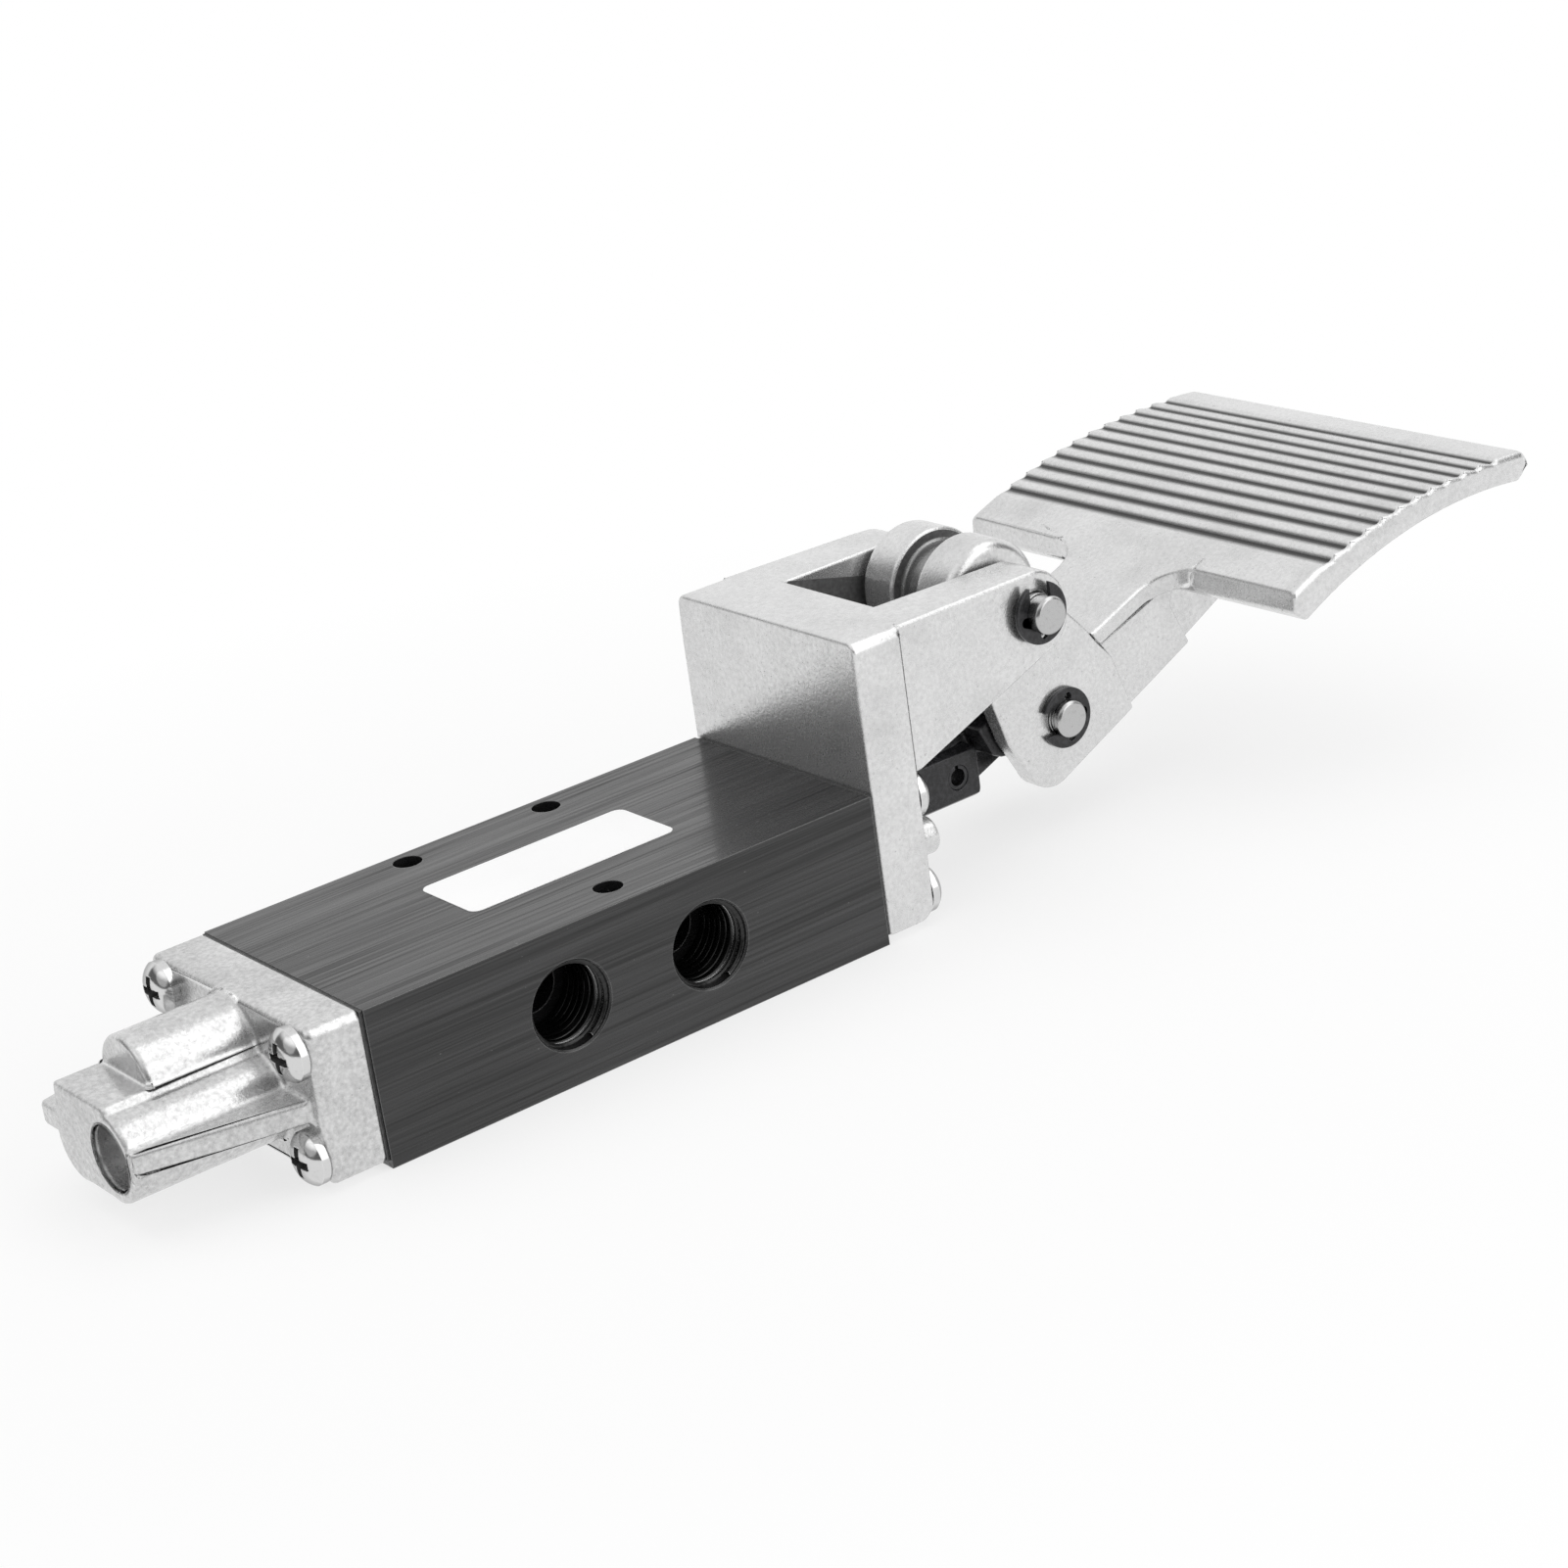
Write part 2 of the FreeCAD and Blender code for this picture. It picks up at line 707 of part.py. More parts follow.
def rear_guide_bush():
    """Ring in the rear end of the bore that guides the spool rod and stops the spool."""
    bush = body("rear_guide_bush")
    half = sketch(bush, "XZ_Plane", "half_profile", up="spool_height")
    inner = "(rod_radius + running_clearance)"
    outer = "(spool_bore_radius - seat_clearance)"
    front = f"({REAR} - bush_length)"
    rear = f"({REAR} - seat_clearance)"
    dip = "(spool_bore_radius - seat_clearance - bush_seal_section * 2 - groove_room)"
    outline(
        half,
        [
            (front, inner),
            (rear, inner),
            (rear, outer),
            (f"{REAR} - bush_length / 2 + bush_seal_section * 1.2", outer),
            (f"{REAR} - bush_length / 2 + bush_seal_section * 1.2", dip),
            (f"{REAR} - bush_length / 2 - bush_seal_section * 1.2", dip),
            (f"{REAR} - bush_length / 2 - bush_seal_section * 1.2", outer),
            (front, outer),
        ],
    )
    turned(bush, "turning", half)
    return bush


def ring_seal(label, place, section, outer):
    """O-ring about the spool axis, inside a given outer radius."""
    seal = doc.addObject("Part::Torus", label)
    bind(seal, Radius1=f"{outer} - {section}", Radius2=section)
    seal.Placement = FreeCAD.Placement(FreeCAD.Vector(), FACING_REAR)
    bind(seal, Placement__Base__x=place, Placement__Base__z="spool_height")
    return seal


def rod_wiper():
    """Wiper ring in the bracket's rear face, around the spool rod."""
    wiper = body("rod_wiper")
    half = sketch(wiper, "XZ_Plane", "half_profile", up="spool_height")
    outline(
        half,
        [
            (f"{PLATE_REAR} - wiper_pocket_depth", "rod_radius + running_clearance"),
            (f"{PLATE_REAR} - wiper_pocket_depth + wiper_thickness + 0.4", "rod_radius + running_clearance"),
            (f"{PLATE_REAR} - wiper_pocket_depth + wiper_thickness", "rod_radius + 1.4"),
            (f"{PLATE_REAR} - wiper_pocket_depth + wiper_thickness", "wiper_pocket_radius - seat_clearance"),
            (f"{PLATE_REAR} - wiper_pocket_depth", "wiper_pocket_radius - seat_clearance"),
        ],
    )
    turned(wiper, "turning", half)
    return wiper


SEAL_PLACES = (
    FRONT_SEAL,
    "(port_middle - port_pitch * 1.5)",
    "(port_middle - 0.15)",
    "(port_middle + port_pitch / 2)",
    "(port_middle + port_pitch * 2 - 0.15)",
    REAR_SEAL,
)


def spool():
    """Turned spool: six grooved lands, a spring spigot in front and the slotted tail behind."""
    item = body("spool")
    groove = "(seal_squeeze_radius - seal_section * 2 - groove_room)"
    half = sketch(item, "XZ_Plane", "half_profile", up="spool_height")
    corners = [(f"{SHOULDER} - spigot_length", "0"), (f"{SHOULDER} - spigot_length", "spigot_radius")]
    corners += [(SHOULDER, "spigot_radius")]
    for number, place in enumerate(SEAL_PLACES):
        front = SHOULDER if number == 0 else f"{place} - land_half"
        rear = f"{place} + land_half"
        corners += [
            (front, "land_radius"),
            (f"{place} - seal_section * 1.2", "land_radius"),
            (f"{place} - seal_section * 1.2", groove),
            (f"{place} + seal_section * 1.2", groove),
            (f"{place} + seal_section * 1.2", "land_radius"),
            (rear, "land_radius"),
        ]
        if place != SEAL_PLACES[-1]:
            following = SEAL_PLACES[number + 1]
            corners += [(rear, "spool_core_radius"), (f"{following} - land_half", "spool_core_radius")]
    corners += [(f"{SEAL_PLACES[-1]} + land_half", "rod_radius"), (TAIL_END, "rod_radius"), (TAIL_END, "0")]
    outline(half, corners)
    turned(item, "turning", half)

    flat_start, beyond = f"({PLATE_REAR} + tail_flat_gap)", f"({TAIL_END} + 1)"
    flats = sketch(item, "XY_Plane", "tail_flats", "0")
    for sign in ("-", ""):
        rectangle(flats, flat_start, beyond, f"{sign}tail_half", f"{sign}(rod_radius + 2)")
    pocket(item, "flats", flats, "spool_height * 2", back=True)
    slot = sketch(item, "XY_Plane", "tongue_slot", "0")
    rectangle(slot, f"{ROLL_PIN_X} - tongue_slot_length", beyond, "-tongue_slot_half", "tongue_slot_half")
    pocket(item, "slot", slot, "spool_height * 2", back=True)
    pin = sketch(item, "XZ_Plane", "pin_circle")
    circle(pin, ROLL_PIN_X, "spool_height", "roll_pin_radius + seat_clearance")
    pocket(item, "pin_hole", pin, "rod_radius * 4", both=True)
    ends = sketch(item, "XZ_Plane", "tail_corners")
    for sign in ("-", "+"):
        edge_z = f"(spool_height {sign} rod_radius)"
        inward = "+" if sign == "-" else "-"
        outline(
            ends,
            [
                (f"{TAIL_END} + 0.5", f"{edge_z} {sign} 0.5"),
                (f"{TAIL_END} - tail_corner", f"{edge_z} {sign} 0.5"),
                (
                    f"{TAIL_END} - tail_corner",
                    edge_z,
                    f"{TAIL_END} - tail_corner * (1 - sqrt(0.5))",
                    f"{edge_z} {inward} tail_corner * (1 - sqrt(0.5))",
                ),
                (TAIL_END, f"{edge_z} {inward} tail_corner"),
                (f"{TAIL_END} + 0.5", f"{edge_z} {inward} tail_corner"),
            ],
        )
    pocket(item, "tail_rounds", ends, "rod_radius * 4", both=True)
    return item


def spool_seals():
    """The six rings that the lands carry."""
    rings = [
        ring_seal(f"spool_seal_{number}", place, "seal_section", "seal_squeeze_radius")
        for number, place in enumerate(SEAL_PLACES, start=1)
    ]
    item = doc.addObject("Part::Compound", "spool_seals")
    item.Links = rings
    return item


def spring_seat():
    """Cup on the spool's spigot that holds the return spring and stops the stroke on the cap."""
    cup = body("spring_seat")
    half = sketch(cup, "XZ_Plane", "half_profile", up="spool_height")
    hole = "(spigot_radius + seat_clearance)"
    outline(
        half,
        [
            (SHOULDER, hole),
            (SHOULDER, "seat_radius"),
            (f"{SHOULDER} - seat_length", "seat_radius"),
            (f"{SHOULDER} - seat_length", "seat_radius - seat_wall"),
            (f"{SHOULDER} - seat_floor", "seat_radius - seat_wall"),
            (f"{SHOULDER} - seat_floor", hole),
        ],
    )
    turned(cup, "turning", half)
    return cup


def return_spring():
    """Coil spring from the seat cup to the end of the cap's cavity."""
    helix = doc.addObject("Part::Helix", "spring_path")
    bind(
        helix,
        Pitch="spring_pitch",
        Height=f"{SHOULDER} - seat_floor - {CAVITY_END} - spring_wire_radius * 2 - 0.1",
        Radius="spring_radius",
    )
    wire = doc.addObject("Part::Circle", "spring_wire")
    bind(wire, Radius="spring_wire_radius", Placement__Base__x="spring_radius")
    wire.Placement = FreeCAD.Placement(FreeCAD.Vector(value("spring_radius"), 0, 0),
                                       FreeCAD.Rotation(FreeCAD.Vector(1, 0, 0), 90))
    doc.recompute()
    coil = doc.addObject("Part::Sweep", "return_spring")
    coil.Sections = [wire]
    coil.Spine = (helix, ["Edge1"])
    coil.Solid = True
    coil.Frenet = True
    coil.Placement = FreeCAD.Placement(FreeCAD.Vector(), FACING_REAR)
    bind(
        coil,
        Placement__Base__x=f"{CAVITY_END} + spring_wire_radius + 0.05",
        Placement__Base__z="spool_height",
    )
    doc.recompute()
    return coil


def cross_pin(label, reach, height, half_length, clip_face):
    """Plain pin across the lever with a clip groove near each end."""
    pin = body(label)
    half = sketch(pin, "XY_Plane", "half_profile", height, across=reach, turn="90")
    corners = [(f"-({half_length})", "0"), (f"-({half_length})", "pin_radius - pin_end_chamfer")]
    corners += [(f"-({half_length}) + pin_end_chamfer", "pin_radius")]
    for sign in ("-", ""):
        before, after = ("clip_thickness", "0") if sign else ("0", "clip_thickness")
        near = f"{sign}({clip_face}) - {before} - clip_groove_room"
        far = f"{sign}({clip_face}) + {after} + clip_groove_room"
        corners += [
            (near, "pin_radius"),
            (near, "clip_groove_radius"),
            (far, "clip_groove_radius"),
            (far, "pin_radius"),
        ]
    corners += [(f"({half_length}) - pin_end_chamfer", "pin_radius")]
    corners += [(f"({half_length})", "pin_radius - pin_end_chamfer")]
    corners += [(f"({half_length})", "0")]
    outline(half, corners)
    turned(pin, "turning", half)
    return pin


def e_clip(label):
    """Retaining clip with three prongs and an open mouth towards +X, in the XZ plane."""
    clip = body(label)
    face = sketch(clip, "XZ_Plane", "face")
    circle(face, "0", "0", "clip_radius")
    pad(clip, "disc", face, "clip_thickness")
    hollow = sketch(clip, "XZ_Plane", "hollow")
    circle(hollow, "0", "0", "clip_groove_radius + clip_groove_room")
    pocket(clip, "grip", hollow, "clip_thickness", back=True)
    mouth = sketch(clip, "XZ_Plane", "mouth")
    rectangle(mouth, "0", "clip_radius + 1", "-clip_groove_radius * 0.8", "clip_groove_radius * 0.8")
    pocket(clip, "opening", mouth, "clip_thickness", back=True)
    relief = sketch(clip, "XZ_Plane", "relief")
    for turn in (100, 180, 260):
        spread = "(clip_groove_radius + clip_radius) / 2 * 0.92"
        circle(
            relief,
            f"{spread} * {math.cos(math.radians(turn)):.4f}",
            f"{spread} * {math.sin(math.radians(turn)):.4f}",
            "clip_radius * 0.14",
        )
    pocket(clip, "reliefs", relief, "clip_thickness", back=True)
    return clip


def roll_pin():
    """Slit spring pin that fastens the link's tongue in the spool's tail."""
    pin = body("roll_pin")
    ring = sketch(pin, "XZ_Plane", "ring", across=ROLL_PIN_X, up="spool_height")
    circle(ring, "0", "0", "roll_pin_radius")
    circle(ring, "0", "0", "roll_pin_radius - roll_pin_wall")
    pad(pin, "tube", ring, "tail_half * 2 - 0.3", both=True)
    slit = sketch(pin, "XZ_Plane", "slit", across=ROLL_PIN_X, up="spool_height")
    rectangle(slit, "-0.3", "0.3", "0", "roll_pin_radius + 1")
    pocket(pin, "slit_cut", slit, "rod_radius * 4", both=True)
    return pin


def lever_sketch(owner, name):
    """A sketch across the lever whose origin is the fulcrum and whose vertical axis
    runs up along the fork."""
    return sketch(owner, "XZ_Plane", name, across="fulcrum_reach", up="fulcrum_height", turn="lever_angle")


# Fork seen from the side: across and up from the fulcrum, along the fork's own axes
CHEEK_CORNERS = [
    ("-8.8", "-3.2"),
    ("-9", "-13.6"),
    ("-10", "-22"),
    ("-9.4", "-29", "-8.3", "-32.6"),
    ("-3.7", "-fork_bottom"),
    ("13", "-fork_bottom"),
    ("13.9", "-24.1"),
    ("12.7", "-19.6"),
    ("12.1", "-16.6"),
    ("10.2", "-10.5"),
    ("8.8", "-3.2"),
]


def pedal_lever():
    """One casting: hub, fork, neck with its hollow web, and the ribbed tread."""
    lever = body("pedal_lever")
    hub = lever_sketch(lever, "hub_circle")
    circle(hub, "0", "0", "hub_radius")
    pad(lever, "hub", hub, "hub_half * 2", both=True)
    rounded(lever, "hub_rims", lambda edge: isinstance(edge.Curve, Part.Circle), "hub_chamfer", "Chamfer")
    ring = lever_sketch(lever, "groove_ring")
    circle(ring, "0", "0", "hub_radius + 1")
    circle(ring, "0", "0", "hub_groove_radius")
    pocket(lever, "hub_groove", ring, "hub_groove_half * 2", both=True)

    middle = "(tread_reach - 14)"
    neck = sketch(lever, "XZ_Plane", "neck_outline")
    outline(
        neck,
        [
            lever_point("fork_back", "-fork_bottom"),
            lever_point("neck_end", "-fork_bottom"),
            lever_point("neck_end", "-fork_bottom + 8"),
            ("pedal_rear + 1.6", f"{tread_belly('(pedal_rear + 2.3)')} + 1.5"),
            ("pedal_rear + 0.2", tread_top("(pedal_rear + 0.2)")),
            lever_point("fork_back", "-neck_top"),
        ],
    )
    pad(lever, "neck", neck, "neck_half * 2", both=True)

    tread = sketch(lever, "XZ_Plane", "tread_outline")
    tip_top, tip_belly = "(pedal_tip - 1.9)", "(pedal_tip - 2.6)"
    outline(
        tread,
        [
            ("pedal_rear", tread_top("pedal_rear"), middle, tread_top(middle)),
            (tip_top, tread_top(tip_top), "pedal_tip - 0.4", f"{tread_top(tip_top)} - 0.9"),
            (
                "pedal_tip",
                f"{tread_top(tip_top)} - 2.1",
                "pedal_tip - 0.8",
                f"{tread_belly(tip_belly)} + 1.6",
            ),
            (tip_belly, tread_belly(tip_belly), middle, tread_belly(middle)),
            ("pedal_rear + 2.3", tread_belly("(pedal_rear + 2.3)")),
            ("pedal_rear - 0.2", f"{tread_top('pedal_rear')} - 3.5"),
        ],
    )
    pad(lever, "tread", tread, "pedal_half * 2", both=True)

    def tread_rim(edge):
        middle = edge.valueAt((edge.FirstParameter + edge.LastParameter) / 2)
        return (
            isinstance(edge.Curve, Part.Circle)
            and abs(edge.Curve.Radius - value("tread_radius")) < 1e-3
            and abs(abs(middle.y) - value("pedal_half")) < 1e-3
        )

    rounded(lever, "tread_rims", tread_rim, "pedal_edge", "Chamfer")

    root_x, root_z = lever_point("fork_back", "-neck_top")
    meet_x, meet_z = "(pedal_rear + 0.2)", tread_top("(pedal_rear + 0.2)")
    flange = sketch(lever, "XZ_Plane", "flange_side")
    outline(
        flange,
        [
            (root_x, f"{root_z} - neck_flare_depth"),
            ("pedal_rear + 1", f"{meet_z} - neck_flare_depth"),
            ("pedal_rear + 1", f"{meet_z} - 0.4"),
            (meet_x, meet_z),
            (root_x, root_z),
        ],
    )
    pad(lever, "flange", flange, "(neck_half + neck_flare) * 2", both=True)
    scoop = sketch(lever, "XY_Plane", "flange_scoops")
    near_x, far_x = "(pedal_rear - neck_flare)", "(pedal_rear - 0.25)"
    lip, wide = "(neck_half + neck_lip)", "(neck_half + neck_flare + 1)"
    bend = "(neck_flare * sqrt(0.5))"
    for sign in ("-", ""):
        outline(
            scoop,
            [
                (near_x, f"{sign}{lip}", f"{near_x} + {bend}", f"{sign}({lip} + neck_flare - {bend})"),
                (far_x, f"{sign}(neck_half + neck_flare - 0.2)"),
                (far_x, f"{sign}{wide}"),
                (f"{root_x} - 1", f"{sign}{wide}"),
                (f"{root_x} - 1", f"{sign}{lip}"),
            ],
        )
    pocket(lever, "flange_cut", scoop, "pedal_half * 2", back=True)

    cheeks = lever_sketch(lever, "cheek_outline")
    outline(cheeks, CHEEK_CORNERS)
    pad(lever, "cheeks", cheeks, "hub_half * 2", both=True)

    web = sketch(lever, "XZ_Plane", "web_outline")
    outline(
        web,
        [
            lever_point("fork_back", "-fork_bottom"),
            ("web_reach", f"{tread_belly('web_reach')} + 1", middle, f"{tread_belly(middle)} + 1"),
            ("pedal_rear + 3", f"{tread_belly('(pedal_rear + 3)')} + 1"),
            lever_point("fork_back", "-neck_top - 2"),
        ],
    )
    pad(lever, "web", web, "web_half * 2", both=True)
    hollow = sketch(lever, "XZ_Plane", "web_hollow")
    hollow_tip = "(web_reach - web_wall * 2)"
    outline(
        hollow,
        [
            lever_point("fork_back + web_wall", "-fork_bottom - 1"),
            (hollow_tip, f"{tread_belly(hollow_tip)} - 8"),
            (hollow_tip, f"{tread_belly(hollow_tip)} - 0.5", middle, f"{tread_belly(middle)} - 0.5"),
            ("pedal_rear + 5", f"{tread_belly('(pedal_rear + 5)')} - 0.5"),
            lever_point("fork_back + web_wall", "-neck_top - 4"),
        ],
    )
    pocket(lever, "web_hollow_cut", hollow, "(web_half - web_wall) * 2", both=True)

    gap = lever_sketch(lever, "fork_gap")
    outline(
        gap,
        [
            ("-14", "-fork_bottom - 1"),
            ("fork_back", "-fork_bottom - 1"),
            ("fork_back", "-fork_roof - 5", "fork_back - 1.6", "-fork_roof - 1.6"),
            ("fork_back - 5", "-fork_roof"),
            ("-14", "-fork_roof"),
        ],
    )
    pocket(lever, "fork_gap_cut", gap, "fork_gap_half * 2", both=True)

    bores = lever_sketch(lever, "fulcrum_circle")
    circle(bores, "0", "0", PIN_RUN)
    pocket(lever, "fulcrum_bore", bores, "hub_half * 4", both=True)
    holes = lever_sketch(lever, "crank_circle")
    circle(holes, "crank_across", "-crank_length", PIN_FIT)
    pocket(lever, "crank_bore", holes, "hub_half * 4", both=True)

    tooth = sketch(
        lever,
        "XZ_Plane",
        "rib_valley",
        across="tread_reach",
        up="-tread_depth",
        turn="rib_first_angle",
    )
    step = "(rib_pitch_angle * 1 deg)"
    valley = "(rib_pitch_angle * 0.84 * 1 deg)"
    outline(
        tooth,
        [
            ("0", "tread_radius"),
            (f"(tread_radius - rib_depth) * sin({valley})", f"(tread_radius - rib_depth) * cos({valley})"),
            (f"tread_radius * sin({step})", f"tread_radius * cos({step})"),
            (f"(tread_radius + 1) * sin({step})", f"(tread_radius + 1) * cos({step})"),
            ("0", "tread_radius + 1"),
        ],
    )
    first = pocket(lever, "rib_valley_cut", tooth, "pedal_half * 4", both=True)
    ribs = lever.newObject("PartDesign::PolarPattern", "ribs")
    ribs.Originals = [first]
    ribs.Axis = (tooth, ["N_Axis"])
    ribs.Reversed = True
    bind(ribs, Angle="rib_pitch_angle * (rib_count - 1)", Occurrences="rib_count")
    lever.Tip = ribs
    doc.recompute()
    return lever


def link():
    """Black link: a thin tongue to the spool tail and a wide boss round the link pin."""
    item = body("link")
    angle = f"(atan(({CRANK_Z} - spool_height) / link_run) / 1 deg)"
    length = f"sqrt(({CRANK_Z} - spool_height) ^ 2 + link_run ^ 2)"

    def along(name):
        return sketch(item, "XZ_Plane", name, across=ROLL_PIN_X, up="spool_height", turn=angle)

    tongue = along("tongue_outline")
    outline(
        tongue,
        [
            ("0", "-link_tongue_radius"),
            (length, "-link_tongue_radius"),
            (length, "link_tongue_radius"),
            ("0", "link_tongue_radius", "-link_tongue_radius", "0"),
        ],
    )
    pad(item, "tongue", tongue, "link_tongue_half * 2", both=True)
    boss = along("boss_outline")
    edge = f"((tail_overhang + link_tail_gap) * {length} / link_run)"
    outline(
        boss,
        [
            (edge, "link_boss_radius"),
            (f"{edge} + 0.5", "link_lower_edge"),
            (f"{edge} + 1.8", "link_lower_edge - 1.3"),
            (length, "-link_boss_radius", f"{length} + link_boss_radius", "0"),
            (length, "link_boss_radius"),
        ],
    )
    pad(item, "boss", boss, "link_half * 2", both=True)
    pin = along("pin_circles")
    circle(pin, length, "0", PIN_RUN)
    circle(pin, "0", "0", "roll_pin_radius + open_pivot_clearance")
    pocket(item, "pin_holes", pin, "link_half * 4", both=True)
    return item


def clip_pair(label, source, reach, height, face, turn):
    """Two clips, one outside each end of a pin's seat."""
    item = group(
        label,
        source,
        [
            (reach, f"-({face})", height, turn),
            (reach, f"({face}) + clip_thickness", height, turn),
        ],
    )
    return item


FULCRUM_END = "arm_half_end + fulcrum_pin_overhang"
FULCRUM_FACE = "arm_half_end + clip_standoff"
CRANK_FACE = "hub_half + 0.1"

cap_screw = cover_screw("cap_screw_form", "cap_plate")
bracket_screw = cover_screw("bracket_screw_form", "bracket_plate")
clip = e_clip("clip_form")
MOUTH_UP = FreeCAD.Rotation(FreeCAD.Vector(0, 1, 0), -90)
MOUTH_FRONT = FreeCAD.Rotation(FreeCAD.Vector(0, 1, 0), 180)

nodes = [
    valve_body(),
    front_end_cap(),
    gasket("front_gasket", CAP_FACE, "cap_bottom", "cap_top"),
    screw_group("front_cap_screws", cap_screw, CAP_OUTER, FACING_FRONT),
    lever_bracket(),
    gasket("bracket_gasket", REAR, "bracket_bottom", "body_height"),
    screw_group("bracket_screws", bracket_screw, PLATE_REAR, FACING_REAR),
    rear_guide_bush(),
    ring_seal(
        "bush_seal", f"{REAR} - bush_length / 2", "bush_seal_section", "(spool_bore_radius - seat_clearance)"
    ),
    rod_wiper(),
    cross_pin("fulcrum_pin", "fulcrum_reach", "fulcrum_height", FULCRUM_END, FULCRUM_FACE),
    clip_pair("fulcrum_clips", clip, "fulcrum_reach", "fulcrum_height", FULCRUM_FACE, MOUTH_UP),
    spool(),
    spool_seals(),
    spring_seat(),
    return_spring(),
    roll_pin(),
    pedal_lever(),
    cross_pin("link_pin", CRANK_X, CRANK_Z, "hub_half + link_pin_overhang", CRANK_FACE),
    clip_pair("link_pin_clips", clip, CRANK_X, CRANK_Z, CRANK_FACE, MOUTH_FRONT),
    link(),
]
doc.recompute()

for item in doc.Objects:
    if "Invalid" in item.State or "Error" in item.State:
        raise RuntimeError(f"{item.Label} failed: {item.State}")

os.makedirs("parts", exist_ok=True)
for item in nodes:
    shape = item.Shape
    if shape.isNull() or not shape.isValid():
        raise RuntimeError(f"{item.Label} has no valid shape")
    print(f"{item.Label}: {len(shape.Solids)} solids, {shape.Volume:.1f} mm3, {shape.BoundBox}")
    shape.exportStep(os.path.join("parts", item.Label + ".step"))
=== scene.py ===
import bpy
import bmesh
import math
from mathutils import Matrix, Vector
from mathutils.bvhtree import BVHTree


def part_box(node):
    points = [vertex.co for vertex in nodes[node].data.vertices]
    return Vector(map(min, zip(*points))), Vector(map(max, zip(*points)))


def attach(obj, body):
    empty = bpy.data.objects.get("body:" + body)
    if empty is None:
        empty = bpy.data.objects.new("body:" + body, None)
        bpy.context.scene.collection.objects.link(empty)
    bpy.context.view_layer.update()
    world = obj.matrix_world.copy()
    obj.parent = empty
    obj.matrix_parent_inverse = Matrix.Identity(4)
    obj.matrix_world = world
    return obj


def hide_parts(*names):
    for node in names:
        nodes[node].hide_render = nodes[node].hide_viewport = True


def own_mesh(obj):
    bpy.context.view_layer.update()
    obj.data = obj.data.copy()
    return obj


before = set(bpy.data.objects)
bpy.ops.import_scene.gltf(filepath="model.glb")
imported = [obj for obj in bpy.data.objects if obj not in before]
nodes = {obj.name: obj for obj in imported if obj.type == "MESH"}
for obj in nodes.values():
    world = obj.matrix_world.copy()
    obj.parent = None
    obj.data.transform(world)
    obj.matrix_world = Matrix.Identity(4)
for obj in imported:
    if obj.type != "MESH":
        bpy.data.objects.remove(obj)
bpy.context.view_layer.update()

# Valve block. A sawn length of aluminium bar, drilled and threaded on both sides, brushed along
# its length and anodised black. It carries every other part and stands on its flat underside.
MM = 0.001
BLOCK_BLACK = (0.003, 0.003, 0.003, 1)
BLOCK_STREAK = (0.02, 0.02, 0.021, 1)
BLOCK_SPECK = (0.1, 0.1, 0.1, 1)
BLOCK_RUB = (0.16, 0.16, 0.16, 1)
BLOCK_ROUGHNESS = 0.46
STREAK_SHINE = 0.34
STREAK_COAT = 0.45
COAT_ROUGHNESS = 0.1
BLOCK_WEAR = 0.25 * MM
STREAK_HEIGHT = 0.01 * MM
STREAK_RELIEF = 0.4
FINE_STREAKS = 3600
FINE_STRETCH = (0.01, 1, 1)
FINE_SHARE = 0.65
BROAD_STREAKS = 420
BROAD_STRETCH = (0.02, 1, 1)
STREAK_SPAN = (0.36, 0.66)
SPECKS = 2200
SPECK_STRETCH = (0.5, 1, 1)
SPECK_SPAN = (0.77, 0.8)
WEAR_REACH = 0.6 * MM
WEAR_SAMPLES = 6
WEAR_SPAN = (0.01, 0.12)


def feed(tree, slot, source):
    """Join another node's output to an input, or set the input to a value."""
    if isinstance(source, bpy.types.NodeSocket):
        tree.links.new(source, slot)
    else:
        slot.default_value = source


def socket_group(name, inputs, outputs):
    """An empty shader node group with named number inputs and named outputs."""
    group = bpy.data.node_groups.new(name, "ShaderNodeTree")
    for label, number in inputs.items():
        socket = group.interface.new_socket(label, in_out="INPUT", socket_type="NodeSocketFloat")
        socket.default_value = number
    for label, kind in outputs.items():
        group.interface.new_socket(label, in_out="OUTPUT", socket_type=f"NodeSocket{kind}")
    return group, group.nodes.new("NodeGroupInput").outputs, group.nodes.new("NodeGroupOutput").inputs


def math_node(tree, operation, *sources):
    """A Math node on sockets or numbers, which returns its result socket."""
    item = tree.nodes.new("ShaderNodeMath")
    item.operation = operation
    for slot, source in zip(item.inputs, sources):
        feed(tree, slot, source)
    return item.outputs["Value"]


def vector_node(tree, operation, *sources):
    """A Vector Math node on sockets or vectors, which returns its result sockets."""
    item = tree.nodes.new("ShaderNodeVectorMath")
    item.operation = operation
    for slot, source in zip(item.inputs, sources):
        feed(tree, slot, source)
    return item.outputs


def piece_place(tree):
    """Where a point lies on its piece."""
    return tree.nodes.new("ShaderNodeTexCoord").outputs["Object"]


def noise(tree, coordinates, scale, stretch=(1, 1, 1), detail=3):
    """Noise on object coordinates, in waves per metre, with the pattern stretched along the axes."""
    mapping = tree.nodes.new("ShaderNodeMapping")
    mapping.inputs["Scale"].default_value = stretch
    tree.links.new(coordinates, mapping.inputs["Vector"])
    item = tree.nodes.new("ShaderNodeTexNoise")
    item.inputs["Scale"].default_value = scale
    item.inputs["Detail"].default_value = detail
    tree.links.new(mapping.outputs["Vector"], item.inputs["Vector"])
    return item.outputs["Fac"]


